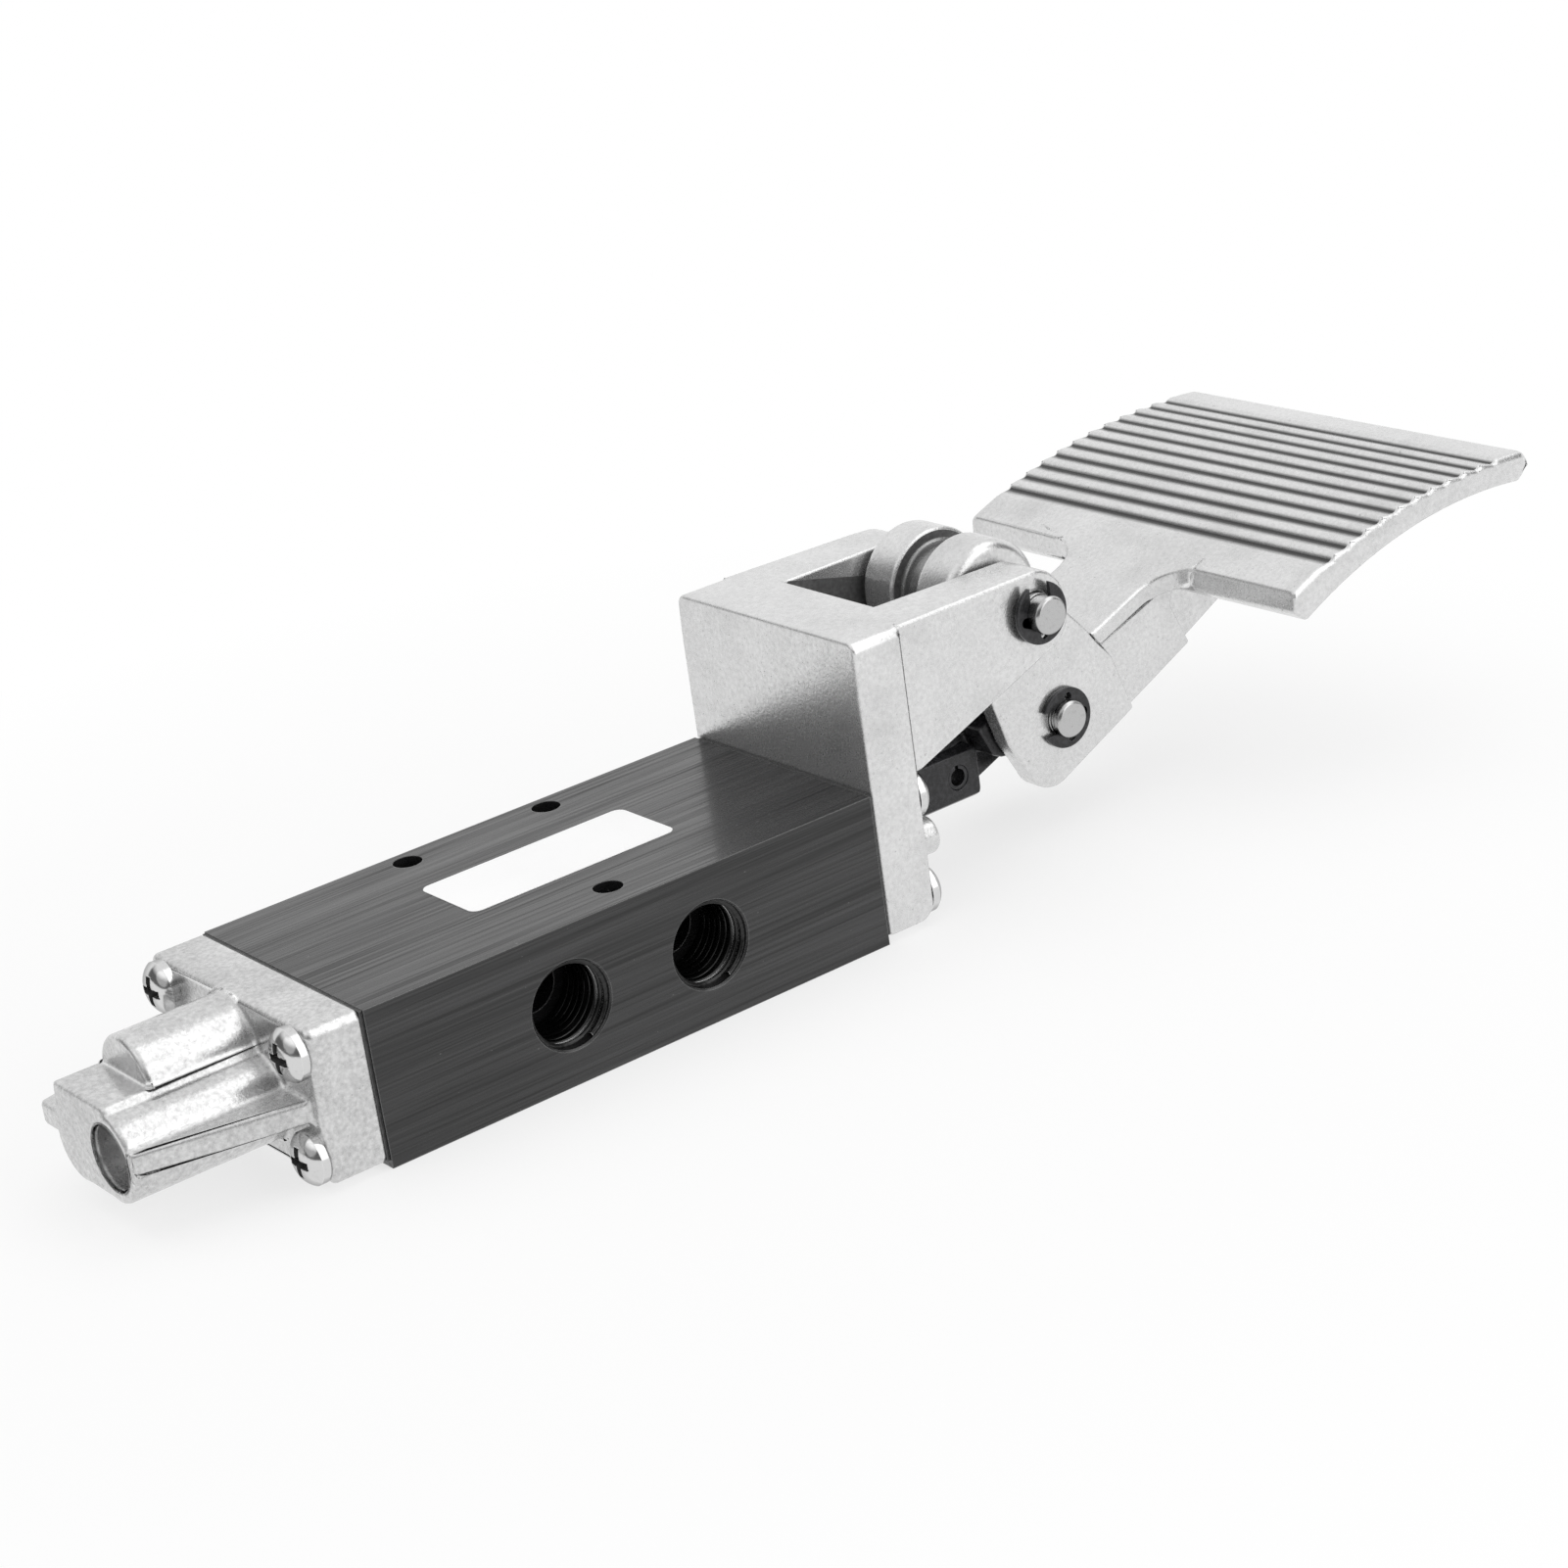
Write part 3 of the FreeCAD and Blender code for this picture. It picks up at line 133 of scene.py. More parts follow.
def ramp(tree, source, low, high, start=0.0, end=1.0):
    """Spread the span from low to high over 0 to 1, or over another span."""
    item = tree.nodes.new("ShaderNodeMapRange")
    for label, value in (("From Min", low), ("From Max", high), ("To Min", start), ("To Max", end)):
        item.inputs[label].default_value = value
    tree.links.new(source, item.inputs["Value"])
    return item.outputs["Result"]


def brushed_grain():
    """Lines left by brushing along X: fine streaks, broad bands and a few bright specks."""
    kinds = {"Streak": "Float", "Speck": "Float"}
    group, given, result = socket_group("brushed grain", {"Strength": 1.0}, kinds)
    place = piece_place(group)
    fine = noise(group, place, FINE_STREAKS, FINE_STRETCH, detail=4)
    broad = noise(group, place, BROAD_STREAKS, BROAD_STRETCH, detail=2)
    fine_part = math_node(group, "MULTIPLY", fine, FINE_SHARE)
    broad_part = math_node(group, "MULTIPLY", broad, 1 - FINE_SHARE)
    both = math_node(group, "ADD", fine_part, broad_part)
    streak = math_node(group, "MULTIPLY", ramp(group, both, *STREAK_SPAN), given["Strength"])
    speck = ramp(group, noise(group, place, SPECKS, SPECK_STRETCH, detail=1), *SPECK_SPAN)
    group.links.new(streak, result["Streak"])
    group.links.new(speck, result["Speck"])
    return group


GRAIN = brushed_grain()


# The mask gives real worn edges and also the painted highlights on the castings' edges and the
# threads' crests.
def edge_wear_and_glint():
    """How near a sharp edge a point lies: 0 on open faces, 1 on the edge."""
    kinds = {"Edge": "Float", "Normal": "Vector"}
    group, given, result = socket_group("edge wear and glint", {"Radius": WEAR_REACH}, kinds)
    bevel = group.nodes.new("ShaderNodeBevel")
    bevel.samples = WEAR_SAMPLES
    group.links.new(given["Radius"], bevel.inputs["Radius"])
    flat = group.nodes.new("ShaderNodeNewGeometry").outputs["Normal"]
    alike = vector_node(group, "DOT_PRODUCT", bevel.outputs["Normal"], flat)["Value"]
    turned = math_node(group, "SUBTRACT", 1.0, alike)
    group.links.new(ramp(group, turned, *WEAR_SPAN), result["Edge"])
    group.links.new(bevel.outputs["Normal"], result["Normal"])
    return group


EDGES = edge_wear_and_glint()


def new_material(name):
    """A material with its node tree and its main shader's inputs."""
    material = bpy.data.materials.new(name)
    material.use_nodes = True
    return material, material.node_tree, material.node_tree.nodes["Principled BSDF"].inputs


def placed(tree, group, **values):
    """A shader group in a material, with its inputs set by name."""
    item = tree.nodes.new("ShaderNodeGroup")
    item.node_tree = group
    for label, number in values.items():
        item.inputs[label].default_value = number
    return item.outputs


def mixed(tree, share, first, second):
    """A colour between two colours or sockets, by a share."""
    item = tree.nodes.new("ShaderNodeMix")
    item.data_type = "RGBA"
    for label, source in (("Factor", share), ("A", first), ("B", second)):
        feed(tree, item.inputs[label], source)
    return item.outputs["Result"]


def bumped(tree, shader, height, distance, strength, under=None):
    """A bump of a height socket on the shader's normal."""
    item = tree.nodes.new("ShaderNodeBump")
    item.inputs["Distance"].default_value = distance
    item.inputs["Strength"].default_value = strength
    tree.links.new(height, item.inputs["Height"])
    if under is not None:
        tree.links.new(under, item.inputs["Normal"])
    tree.links.new(item.outputs["Normal"], shader["Normal"])


def anodised_bar():
    """Black anodised, brushed aluminium, shinier along its streaks."""
    material, tree, shader = new_material("black anodised aluminium")
    grain = placed(tree, GRAIN, Strength=1.0)
    edge = placed(tree, EDGES, Radius=BLOCK_WEAR)
    colour = mixed(tree, grain["Streak"], BLOCK_BLACK, BLOCK_STREAK)
    speckled = mixed(tree, grain["Speck"], colour, BLOCK_SPECK)
    tree.links.new(mixed(tree, edge["Edge"], speckled, BLOCK_RUB), shader["Base Color"])
    rough = math_node(tree, "MULTIPLY_ADD", grain["Streak"], -STREAK_SHINE, BLOCK_ROUGHNESS)
    tree.links.new(rough, shader["Roughness"])
    tree.links.new(math_node(tree, "MULTIPLY", grain["Streak"], STREAK_COAT), shader["Coat Weight"])
    shader["Coat Roughness"].default_value = COAT_ROUGHNESS
    bumped(tree, shader, grain["Streak"], STREAK_HEIGHT, STREAK_RELIEF, edge["Normal"])
    return material


def dress(obj, material):
    """Give every face of a piece one material."""
    obj.data.materials.clear()
    obj.data.materials.append(material)


dress(nodes["valve_body"], anodised_bar())

# Port threads. Quarter-inch pipe threads cut in the block's five ports, two on the near side and
# three on the far side. The cut leaves the same black surface, a little glossier, and the crests
# carry a painted highlight.
THREAD_RADIUS = 6.58 * MM
THREAD_DEPTH = 0.86 * MM
THREAD_PITCH = 1.337 * MM
THREAD_LENGTH = 9.6 * MM
THREAD_START = 10.5 * MM
THREAD_STEPS = 40
THREAD_SIDES = 3
THREAD_GRAIN = 0.6
THREAD_GLINT_REACH = 0.12 * MM
THREAD_DARK = (0.025, 0.025, 0.025, 1)
THREAD_LIGHT = (0.06, 0.06, 0.06, 1)
# A painted highlight on the thread's crests.
THREAD_CREST_GLINT = (0.5, 0.5, 0.5, 1)
THREAD_METALLIC = 0.8
THREAD_ROUGHNESS = 0.24
PORT_PITCH = 12.28 * MM
PORT_MIDDLE = 0.35 * MM
PORT_NUMBERS = {-1: (-1, 1), 1: (-2, 0, 2)}
BLOCK_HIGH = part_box("valve_body")[1]
BLOCK_HALF = BLOCK_HIGH.y
PORT_HEIGHT = BLOCK_HIGH.z / 2


def in_scene(name, data):
    """A new object in the scene that holds a mesh, a lamp or the camera."""
    obj = bpy.data.objects.new(name, data)
    bpy.context.scene.collection.objects.link(obj)
    return obj


def tree_with(name, inputs):
    """A geometry node tree with named inputs and one geometry output."""
    tree = bpy.data.node_groups.new(name, "GeometryNodeTree")
    tree.interface.new_socket("Geometry", in_out="OUTPUT", socket_type="NodeSocketGeometry")
    for label, (kind, number) in inputs.items():
        socket = tree.interface.new_socket(label, in_out="INPUT", socket_type=f"NodeSocket{kind}")
        if number is not None:
            socket.default_value = number
    return tree, tree.nodes.new("NodeGroupInput").outputs, tree.nodes.new("NodeGroupOutput").inputs


def plain_mesh(obj):
    """The mesh that a piece has with its modifiers on it."""
    bpy.context.view_layer.update()
    evaluated = obj.evaluated_get(bpy.context.evaluated_depsgraph_get())
    return bpy.data.meshes.new_from_object(evaluated)


def grown(name, tree, values, seed_mesh):
    """The piece that a geometry node tree makes with its inputs set by name."""
    piece = in_scene(name, seed_mesh)
    modifier = piece.modifiers.new("grow", "NODES")
    modifier.node_group = tree
    for item in tree.interface.items_tree:
        if item.in_out == "INPUT" and item.name in values:
            modifier[item.identifier] = values[item.name]
    mesh = plain_mesh(piece)
    piece.modifiers.remove(modifier)
    piece.data = mesh
    return piece


def thread_tree():
    """A triangular ridge wound along +Z inside a bore, set on each face of the seed mesh."""
    tree, given, result = tree_with("internal thread", {
        "Seats": ("Geometry", None),
        "Bore radius": ("Float", THREAD_RADIUS),
        "Depth": ("Float", THREAD_DEPTH),
        "Pitch": ("Float", THREAD_PITCH),
        "Turns": ("Float", THREAD_LENGTH / THREAD_PITCH),
        "Finish": ("Material", None),
    })
    new, join = tree.nodes.new, tree.links.new
    spiral = new("GeometryNodeCurveSpiral")
    spiral.inputs["Resolution"].default_value = THREAD_STEPS
    join(math_node(tree, "MULTIPLY", given["Turns"], given["Pitch"]), spiral.inputs["Height"])
    join(given["Turns"], spiral.inputs["Rotations"])
    join(given["Bore radius"], spiral.inputs["Start Radius"])
    join(given["Bore radius"], spiral.inputs["End Radius"])
    ridge = new("GeometryNodeCurvePrimitiveCircle")
    ridge.inputs["Resolution"].default_value = THREAD_SIDES
    join(given["Depth"], ridge.inputs["Radius"])
    wall = new("GeometryNodeCurveToMesh")
    wall.inputs["Fill Caps"].default_value = True
    join(spiral.outputs["Curve"], wall.inputs["Curve"])
    join(ridge.outputs["Curve"], wall.inputs["Profile Curve"])
    keep = new("GeometryNodeStoreNamedAttribute")
    keep.data_type = "FLOAT_VECTOR"
    keep.domain = "FACE"
    keep.inputs["Name"].default_value = "mouth"
    join(given["Seats"], keep.inputs["Geometry"])
    join(new("GeometryNodeInputNormal").outputs["Normal"], keep.inputs["Value"])
    spots = new("GeometryNodeMeshToPoints")
    spots.mode = "FACES"
    join(keep.outputs["Geometry"], spots.inputs["Mesh"])
    facing = new("GeometryNodeInputNamedAttribute")
    facing.data_type = "FLOAT_VECTOR"
    facing.inputs["Name"].default_value = "mouth"
    aim = new("FunctionNodeAlignRotationToVector")
    aim.axis = "Z"
    join(facing.outputs["Attribute"], aim.inputs["Vector"])
    copies = new("GeometryNodeInstanceOnPoints")
    join(spots.outputs["Points"], copies.inputs["Points"])
    join(wall.outputs["Mesh"], copies.inputs["Instance"])
    join(aim.outputs["Rotation"], copies.inputs["Rotation"])
    real = new("GeometryNodeRealizeInstances")
    join(copies.outputs["Instances"], real.inputs["Geometry"])
    paint = new("GeometryNodeSetMaterial")
    join(real.outputs["Geometry"], paint.inputs["Geometry"])
    join(given["Finish"], paint.inputs["Material"])
    join(paint.outputs["Geometry"], result["Geometry"])
    return tree


def thread_seats():
    """One small square at the inner end of each port's thread, facing out of the port."""
    spots, squares = [], []
    for side, numbers in PORT_NUMBERS.items():
        for number in numbers:
            along = PORT_MIDDLE + number * PORT_PITCH
            middle = Vector((along, side * (BLOCK_HALF - THREAD_START), PORT_HEIGHT))
            start = len(spots)
            ring = [(-1, -1), (1, -1), (1, 1), (-1, 1)]
            spots += [middle + Vector((across * MM, 0, up * MM)) for across, up in ring]
            order = range(4) if side < 0 else range(3, -1, -1)
            squares.append([start + corner for corner in order])
    mesh = bpy.data.meshes.new("thread seats")
    mesh.from_pydata(spots, [], squares)
    return mesh


def cut_thread():
    """Machined thread, anodised with the block, with a painted highlight on its crests."""
    material, tree, shader = new_material("cut thread")
    grain = placed(tree, GRAIN, Strength=THREAD_GRAIN)
    edge = placed(tree, EDGES, Radius=THREAD_GLINT_REACH)
    dark = mixed(tree, grain["Streak"], THREAD_DARK, THREAD_LIGHT)
    # The crests are lightened as a painted highlight.
    tree.links.new(mixed(tree, edge["Edge"], dark, THREAD_CREST_GLINT), shader["Base Color"])
    shader["Metallic"].default_value = THREAD_METALLIC
    shader["Roughness"].default_value = THREAD_ROUGHNESS
    return material


port_threads = grown("port_threads", thread_tree(), {
    "Bore radius": THREAD_RADIUS,
    "Depth": THREAD_DEPTH,
    "Pitch": THREAD_PITCH,
    "Turns": THREAD_LENGTH / THREAD_PITCH,
    "Finish": cut_thread(),
}, thread_seats())
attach(port_threads, "valve")

# Type plate. A thin white film label with round corners, stuck on the middle of the block's top
# and left bare.
LABEL_CENTRE = Vector((1.5, 0.3, 0)) * MM
LABEL_LENGTH = 36.0 * MM
LABEL_WIDTH = 14.6 * MM
LABEL_ROUND = 1.6 * MM
LABEL_STEPS = 8
LABEL_THICKNESS = 0.08 * MM
LABEL_SHADE = (0.9, 0.9, 0.9, 1)
LABEL_WHITE = (0.98, 0.98, 0.98, 1)
LABEL_CLOUDS = 60
LABEL_ROUGHNESS = 0.42


def from_shape(name, shape):
    """An object made from an edited mesh, which is then let go."""
    mesh = bpy.data.meshes.new(name)
    shape.to_mesh(mesh)
    shape.free()
    return in_scene(name, mesh)


def white_film():
    """Satin white film, a little uneven."""
    material, tree, shader = new_material("white film")
    clouds = noise(tree, piece_place(tree), LABEL_CLOUDS)
    tree.links.new(mixed(tree, clouds, LABEL_SHADE, LABEL_WHITE), shader["Base Color"])
    shader["Roughness"].default_value = LABEL_ROUGHNESS
    return material


def round_plate():
    """The plate, drawn on the block's top face and lifted by its thickness."""
    ring = []
    half_length = LABEL_LENGTH / 2 - LABEL_ROUND
    half_width = LABEL_WIDTH / 2 - LABEL_ROUND
    for sign_x, sign_y, start in ((1, 1, 0), (-1, 1, 90), (-1, -1, 180), (1, -1, 270)):
        for step in range(LABEL_STEPS + 1):
            angle = math.radians(start + step * 90 / LABEL_STEPS)
            ring.append(Vector((
                LABEL_CENTRE.x + sign_x * half_length + LABEL_ROUND * math.cos(angle),
                LABEL_CENTRE.y + sign_y * half_width + LABEL_ROUND * math.sin(angle),
                BLOCK_HIGH.z,
            )))
    shape = bmesh.new()
    face = shape.faces.new([shape.verts.new(point) for point in ring])
    lifted = bmesh.ops.extrude_face_region(shape, geom=[face])["geom"]
    top = [part for part in lifted if isinstance(part, bmesh.types.BMVert)]
    bmesh.ops.translate(shape, verts=top, vec=(0, 0, LABEL_THICKNESS))
    bmesh.ops.recalc_face_normals(shape, faces=shape.faces)
    return from_shape("type_plate", shape)


plate = round_plate()
dress(plate, white_film())
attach(plate, "valve")

# Castings. The front cap, the lever bracket and the pedal lever are pressure die castings in a
# bright zinc-rich alloy, tumbled so that their faces are satin and mottled and their edges are
# rounded and polished; the edges are lightened further with a painted highlight. Faces of the
# bracket and the lever that look at another face of the same piece close by, as between two
# cheeks, get a dark painted shade, and the lever's rib valleys and hub groove get painted shade.
CAST_BRIGHT = (0.74, 0.74, 0.74, 1)
CAST_DULL = (0.62, 0.62, 0.62, 1)
CAP_BRIGHT = (0.7, 0.7, 0.7, 1)
CAP_DULL = (0.48, 0.48, 0.48, 1)
CAST_STAIN = (0.27, 0.27, 0.27, 1)
# Polished edges, their colour lightened further as a painted highlight.
CAST_POLISH_GLINT = (0.93, 0.93, 0.93, 1)
CAST_CLOUDS = 110
CAST_MOTTLES = 1500
MOTTLE_SHARE = 0.7
MOTTLE_SPAN = (0.36, 0.66)
CAST_STAINS = 70
STAIN_STRETCH = (1, 1, 1.6)
STAIN_SPAN = (0.54, 0.74)
STAIN_SHARE = 0.2
CAST_PITS = 1300
PIT_SPAN = (0.7, 0.76)
PIT_SHARE = 0.5
CAST_GRAINS = 2400
GRAIN_HEIGHT = 0.06 * MM
GRAIN_RELIEF = 0.45
CAST_METALLIC = 0.85
CAST_ROUGHNESS = 0.2
MOTTLE_ROUGHNESS = 0.1
POLISH_SHINE = 0.14
CAST_EDGE_REACH = 0.7 * MM
CAP_EDGE = 0.6 * MM
LEVER_EDGE = 0.5 * MM
EDGE_ANGLE = math.radians(35)
SHARP_ANGLE = math.radians(30)
FLAT_ANGLE = math.radians(1)
OFF_SURFACE = 0.6
SEAM_BACK = 117.0 * MM
SEAM_FRONT = 118.3 * MM
SEAM_HALF = 16.3 * MM
SEAM_LOW = 30.0 * MM
SEAM_STEP = 0.3 * MM
RIB_CENTRE = Vector((159.3, 0, -65.5)) * MM
RIB_RADIUS = 109.8 * MM
RIB_DEPTH = 0.85 * MM
RIB_WALL = (RIB_DEPTH * 0.45, RIB_DEPTH * 0.82)
RIB_BELOW = (RIB_DEPTH * 1.5, RIB_DEPTH * 1.3)
RIB_HALF_WIDTH = 37.6 * MM
RIB_START = -36.4 * MM
# Painted shade in the valleys between the tread's ribs.
RIB_VALLEY_SHADE = (0.06, 0.06, 0.06, 1)
FULCRUM = Vector((81.0, 0, 41.2)) * MM
GROOVE_HALF = 2.85 * MM
GROOVE_RIM = 8.9 * MM
# Painted shade in the groove round the lever's hub.
HUB_GROOVE_SHADE = (0.32, 0.32, 0.32, 1)
# A dark painted shade for faces closed in by other faces of the same piece.
HOLLOW_SHADE_LIGHT = (0.17, 0.17, 0.17, 1)
HOLLOW_SHADE_DARK = (0.1, 0.1, 0.1, 1)
HOLLOW_SHADE_METALLIC = 0.6
HOLLOW_SHADE_ROUGHNESS = 0.5
HOLLOW_SHADE_RELIEF = 0.6
CHEEK_REACH = 26.0 * MM
CHEEK_LEAST = 5e-6
RAY_START = 0.05 * MM


def with_modifier(obj, kind, **values):
    """Apply one modifier to a piece's mesh."""
    modifier = obj.modifiers.new(kind.lower(), kind)
    for label, value in values.items():
        setattr(modifier, label, value)
    mesh = plain_mesh(obj)
    obj.modifiers.remove(modifier)
    obj.data = mesh


def close_seam(shape):
    """Weld the sliver faces where the lever's flare runs into the tread."""
    seam = []
    for corner in shape.verts:
        x, y, z = corner.co
        if SEAM_BACK < x < SEAM_FRONT and abs(y) < SEAM_HALF and z > SEAM_LOW:
            seam.append(corner)
    bmesh.ops.remove_doubles(shape, verts=seam, dist=SEAM_STEP)


def softened(name, width, cutter=None):
    """A copy of a piece's mesh, merged, with its hard edges rounded. A corner that the rounding
    throws off the piece's own surface is put back on it, and large faces stay flat."""
    shape = bmesh.new()
    shape.from_mesh(nodes[name].data)
    bmesh.ops.remove_doubles(shape, verts=shape.verts, dist=1e-6)
    if name == "pedal_lever":
        close_seam(shape)
    bmesh.ops.dissolve_limit(shape, angle_limit=FLAT_ANGLE, verts=shape.verts, edges=shape.edges)
    surface = BVHTree.FromBMesh(shape)
    low = [min(corner.co[axis] for corner in shape.verts) for axis in range(3)]
    high = [max(corner.co[axis] for corner in shape.verts) for axis in range(3)]
    copy = from_shape(f"{name}_skin", shape)
    copy.data.shade_smooth()
    if cutter:
        with_modifier(copy, "BOOLEAN", object=cutter, operation="DIFFERENCE", solver="EXACT")
        bpy.data.objects.remove(cutter)
        copy.data.shade_smooth()
    if width:
        with_modifier(
            copy, "BEVEL", width=width, segments=2, angle_limit=EDGE_ANGLE, use_clamp_overlap=False
        )
        for corner in copy.data.vertices:
            nearest, _, _, distance = surface.find_nearest(corner.co)
            if distance > width * OFF_SURFACE:
                corner.co = nearest
            for axis in range(3):
                corner.co[axis] = min(max(corner.co[axis], low[axis]), high[axis])
    else:
        copy.data.set_sharp_from_angle(angle=SHARP_ANGLE)
    with_modifier(copy, "WEIGHTED_NORMAL", weight=100, keep_sharp=True)
    return copy


def cast_skin():
    """Mottling, fine grain, dark stains and pits of a tumbled die casting."""
    kinds = {label: "Float" for label in ("Mottle", "Grain", "Stain", "Pits")}
    group, given, result = socket_group("cast skin", {"Mottle": 1.0}, kinds)
    place = piece_place(group)
    broad = math_node(group, "MULTIPLY", noise(group, place, CAST_CLOUDS, detail=4), 1 - MOTTLE_SHARE)
    fine = math_node(group, "MULTIPLY", noise(group, place, CAST_MOTTLES, detail=6), MOTTLE_SHARE)
    cloud = ramp(group, math_node(group, "ADD", broad, fine), *MOTTLE_SPAN)
    stain = ramp(group, noise(group, place, CAST_STAINS, STAIN_STRETCH, detail=10), *STAIN_SPAN)
    pits = ramp(group, noise(group, place, CAST_PITS, detail=2), *PIT_SPAN)
    group.links.new(math_node(group, "MULTIPLY", cloud, given["Mottle"]), result["Mottle"])
    group.links.new(math_node(group, "MULTIPLY", stain, given["Mottle"]), result["Stain"])
    group.links.new(noise(group, place, CAST_GRAINS, detail=4), result["Grain"])
    group.links.new(pits, result["Pits"])
    return group


SKIN = cast_skin()


def round_axis(tree, centre):
    """How far a point lies from a line along Y, and its place from the centre."""
    away = vector_node(tree, "SUBTRACT", piece_place(tree), centre)["Vector"]
    split = tree.nodes.new("ShaderNodeSeparateXYZ")
    tree.links.new(away, split.inputs["Vector"])
    squares = [math_node(tree, "POWER", split.outputs[axis], 2.0) for axis in ("X", "Z")]
    return math_node(tree, "SQRT", math_node(tree, "ADD", *squares)), split.outputs


def rib_valleys(tree):
    """How deep a point lies between the tread's ribs: 0 on the crests and off the tread."""
    radius, place = round_axis(tree, RIB_CENTRE)
    depth = math_node(tree, "SUBTRACT", RIB_RADIUS, radius)
    wall = ramp(tree, depth, *RIB_WALL)
    near_top = ramp(tree, depth, *RIB_BELOW)
    inside = math_node(tree, "LESS_THAN", math_node(tree, "ABSOLUTE", place["Y"]), RIB_HALF_WIDTH)
    ribbed = math_node(tree, "GREATER_THAN", place["X"], RIB_START)
    on_tread = math_node(tree, "MULTIPLY", inside, ribbed)
    return math_node(tree, "MULTIPLY", math_node(tree, "MULTIPLY", wall, near_top), on_tread)


def hub_groove(tree):
    """1 inside the groove round the hub, 0 elsewhere."""
    radius, place = round_axis(tree, FULCRUM)
    across = math_node(tree, "ABSOLUTE", place["Y"])
    inner = math_node(tree, "LESS_THAN", radius, GROOVE_RIM)
    return math_node(tree, "MULTIPLY", inner, math_node(tree, "LESS_THAN", across, GROOVE_HALF))


def casting(name, bright, dull, ribbed):
    """Satin die-cast metal with polished edges, lightened with a painted highlight; on the lever also
    painted shade in the rib valleys and the hub groove.
    """
    material, tree, shader = new_material(name)
    skin = placed(tree, SKIN, Mottle=1.0)
    edge = placed(tree, EDGES, Radius=CAST_EDGE_REACH)
    face = mixed(tree, skin["Mottle"], bright, dull)
    stained = mixed(tree, math_node(tree, "MULTIPLY", skin["Stain"], STAIN_SHARE), face, CAST_STAIN)
    pitted = mixed(tree, math_node(tree, "MULTIPLY", skin["Pits"], PIT_SHARE), stained, CAST_STAIN)
    # Polished edges, lightened as a painted highlight.
    colour = mixed(tree, edge["Edge"], pitted, CAST_POLISH_GLINT)
    if ribbed:
        # Painted shade: the tread's rib valleys are darkened.
        colour = mixed(tree, rib_valleys(tree), colour, RIB_VALLEY_SHADE)
        # Painted shade: the groove round the hub is darkened.
        colour = mixed(tree, hub_groove(tree), colour, HUB_GROOVE_SHADE)
    tree.links.new(colour, shader["Base Color"])
    shader["Metallic"].default_value = CAST_METALLIC
    rough = math_node(tree, "MULTIPLY_ADD", skin["Mottle"], MOTTLE_ROUGHNESS, CAST_ROUGHNESS)
    polished = math_node(tree, "MULTIPLY", edge["Edge"], POLISH_SHINE)
    tree.links.new(math_node(tree, "SUBTRACT", rough, polished), shader["Roughness"])
    bumped(tree, shader, skin["Grain"], GRAIN_HEIGHT, GRAIN_RELIEF, edge["Normal"])
    return material


def shaded_hollow_finish():
    """Dark metal that paints shade on faces closed in by other faces of the same piece."""
    material, tree, shader = new_material("painted hollow shade")
    skin = placed(tree, SKIN, Mottle=1.0)
    tree.links.new(mixed(tree, skin["Mottle"], HOLLOW_SHADE_LIGHT, HOLLOW_SHADE_DARK), shader["Base Color"])
    shader["Metallic"].default_value = HOLLOW_SHADE_METALLIC
    shader["Roughness"].default_value = HOLLOW_SHADE_ROUGHNESS
    bumped(tree, shader, skin["Grain"], GRAIN_HEIGHT, HOLLOW_SHADE_RELIEF)
    return material


def darken_enclosed(obj, reach, material, least=0.0):
    """A second material, a dark painted shade, for the faces, of a least area in square metres, that
    look at another face of the piece within a distance."""
    shape = bmesh.new()
    shape.from_mesh(obj.data)
    tree = BVHTree.FromBMesh(shape)
    shape.free()
    obj.data.materials.append(material)
    for face in obj.data.polygons:
        start = face.center + face.normal * RAY_START
        if face.area >= least and tree.ray_cast(start, face.normal, reach)[0] is not None:
            face.material_index = 1


painted_hollow_shade = shaded_hollow_finish()
for name, width, body, bright, dull in (
    ("front_end_cap", CAP_EDGE, "valve", CAP_BRIGHT, CAP_DULL),
    ("lever_bracket", LEVER_EDGE, "valve", CAST_BRIGHT, CAST_DULL),
    ("pedal_lever", LEVER_EDGE, "lever", CAST_BRIGHT, CAST_DULL),
):
    skin = softened(name, width)
    dress(skin, casting(f"{name} casting".replace("_", " "), bright, dull, name == "pedal_lever"))
    if name != "front_end_cap":
        # Faces that look at another face of the piece close by get the dark painted shade.
        darken_enclosed(skin, CHEEK_REACH, painted_hollow_shade, CHEEK_LEAST)
    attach(skin, body)
    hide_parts(name)

# Screws, pins and clips. Nickel-plated pan-head screws with cross recesses hold both covers;
# ground steel pins carry the lever and the link; the clips on them, the spool, its roll pin and
# the link are steel with a black oxide finish.
NICKEL = (0.66, 0.66, 0.66, 1)
GROUND_STEEL = (0.5, 0.5, 0.5, 1)
METAL_EDGE = (0.9, 0.9, 0.9, 1)
# A painted dark reflection on rims that turn away from view.
RIM_PAINTED_REFLECTION = (0.16, 0.16, 0.16, 1)
OXIDE = (0.012, 0.012, 0.013, 1)
METAL_MARKS = 1500
METAL_MARK_SPAN = (0.55, 0.85)
METAL_MARK_HEIGHT = 0.005 * MM
METAL_MARK_RELIEF = 0.3
METAL_MARK_SHADE = 0.8
METAL_MARK_ROUGHNESS = 0.12
METAL_WEAR = 0.2 * MM
RIM_BLEND = 0.45
RIM_SPAN = (0.45, 0.8)
BLACK_MARKS = 1200
BLACK_MARK_SPAN = (0.42, 0.72)
BLACK_MARK_HEIGHT = 0.02 * MM
BLACK_MARK_RELIEF = 0.5
BLACK_MARK_SHADE = 3
BLACK_EDGE_SHADE = 8
BLACK_WEAR = 0.3 * MM
SCREW_SIDES = (-17.8, 17.8)
SCREW_LEVELS = (4.6, 20.2)
CROSS_ARM = 2.3
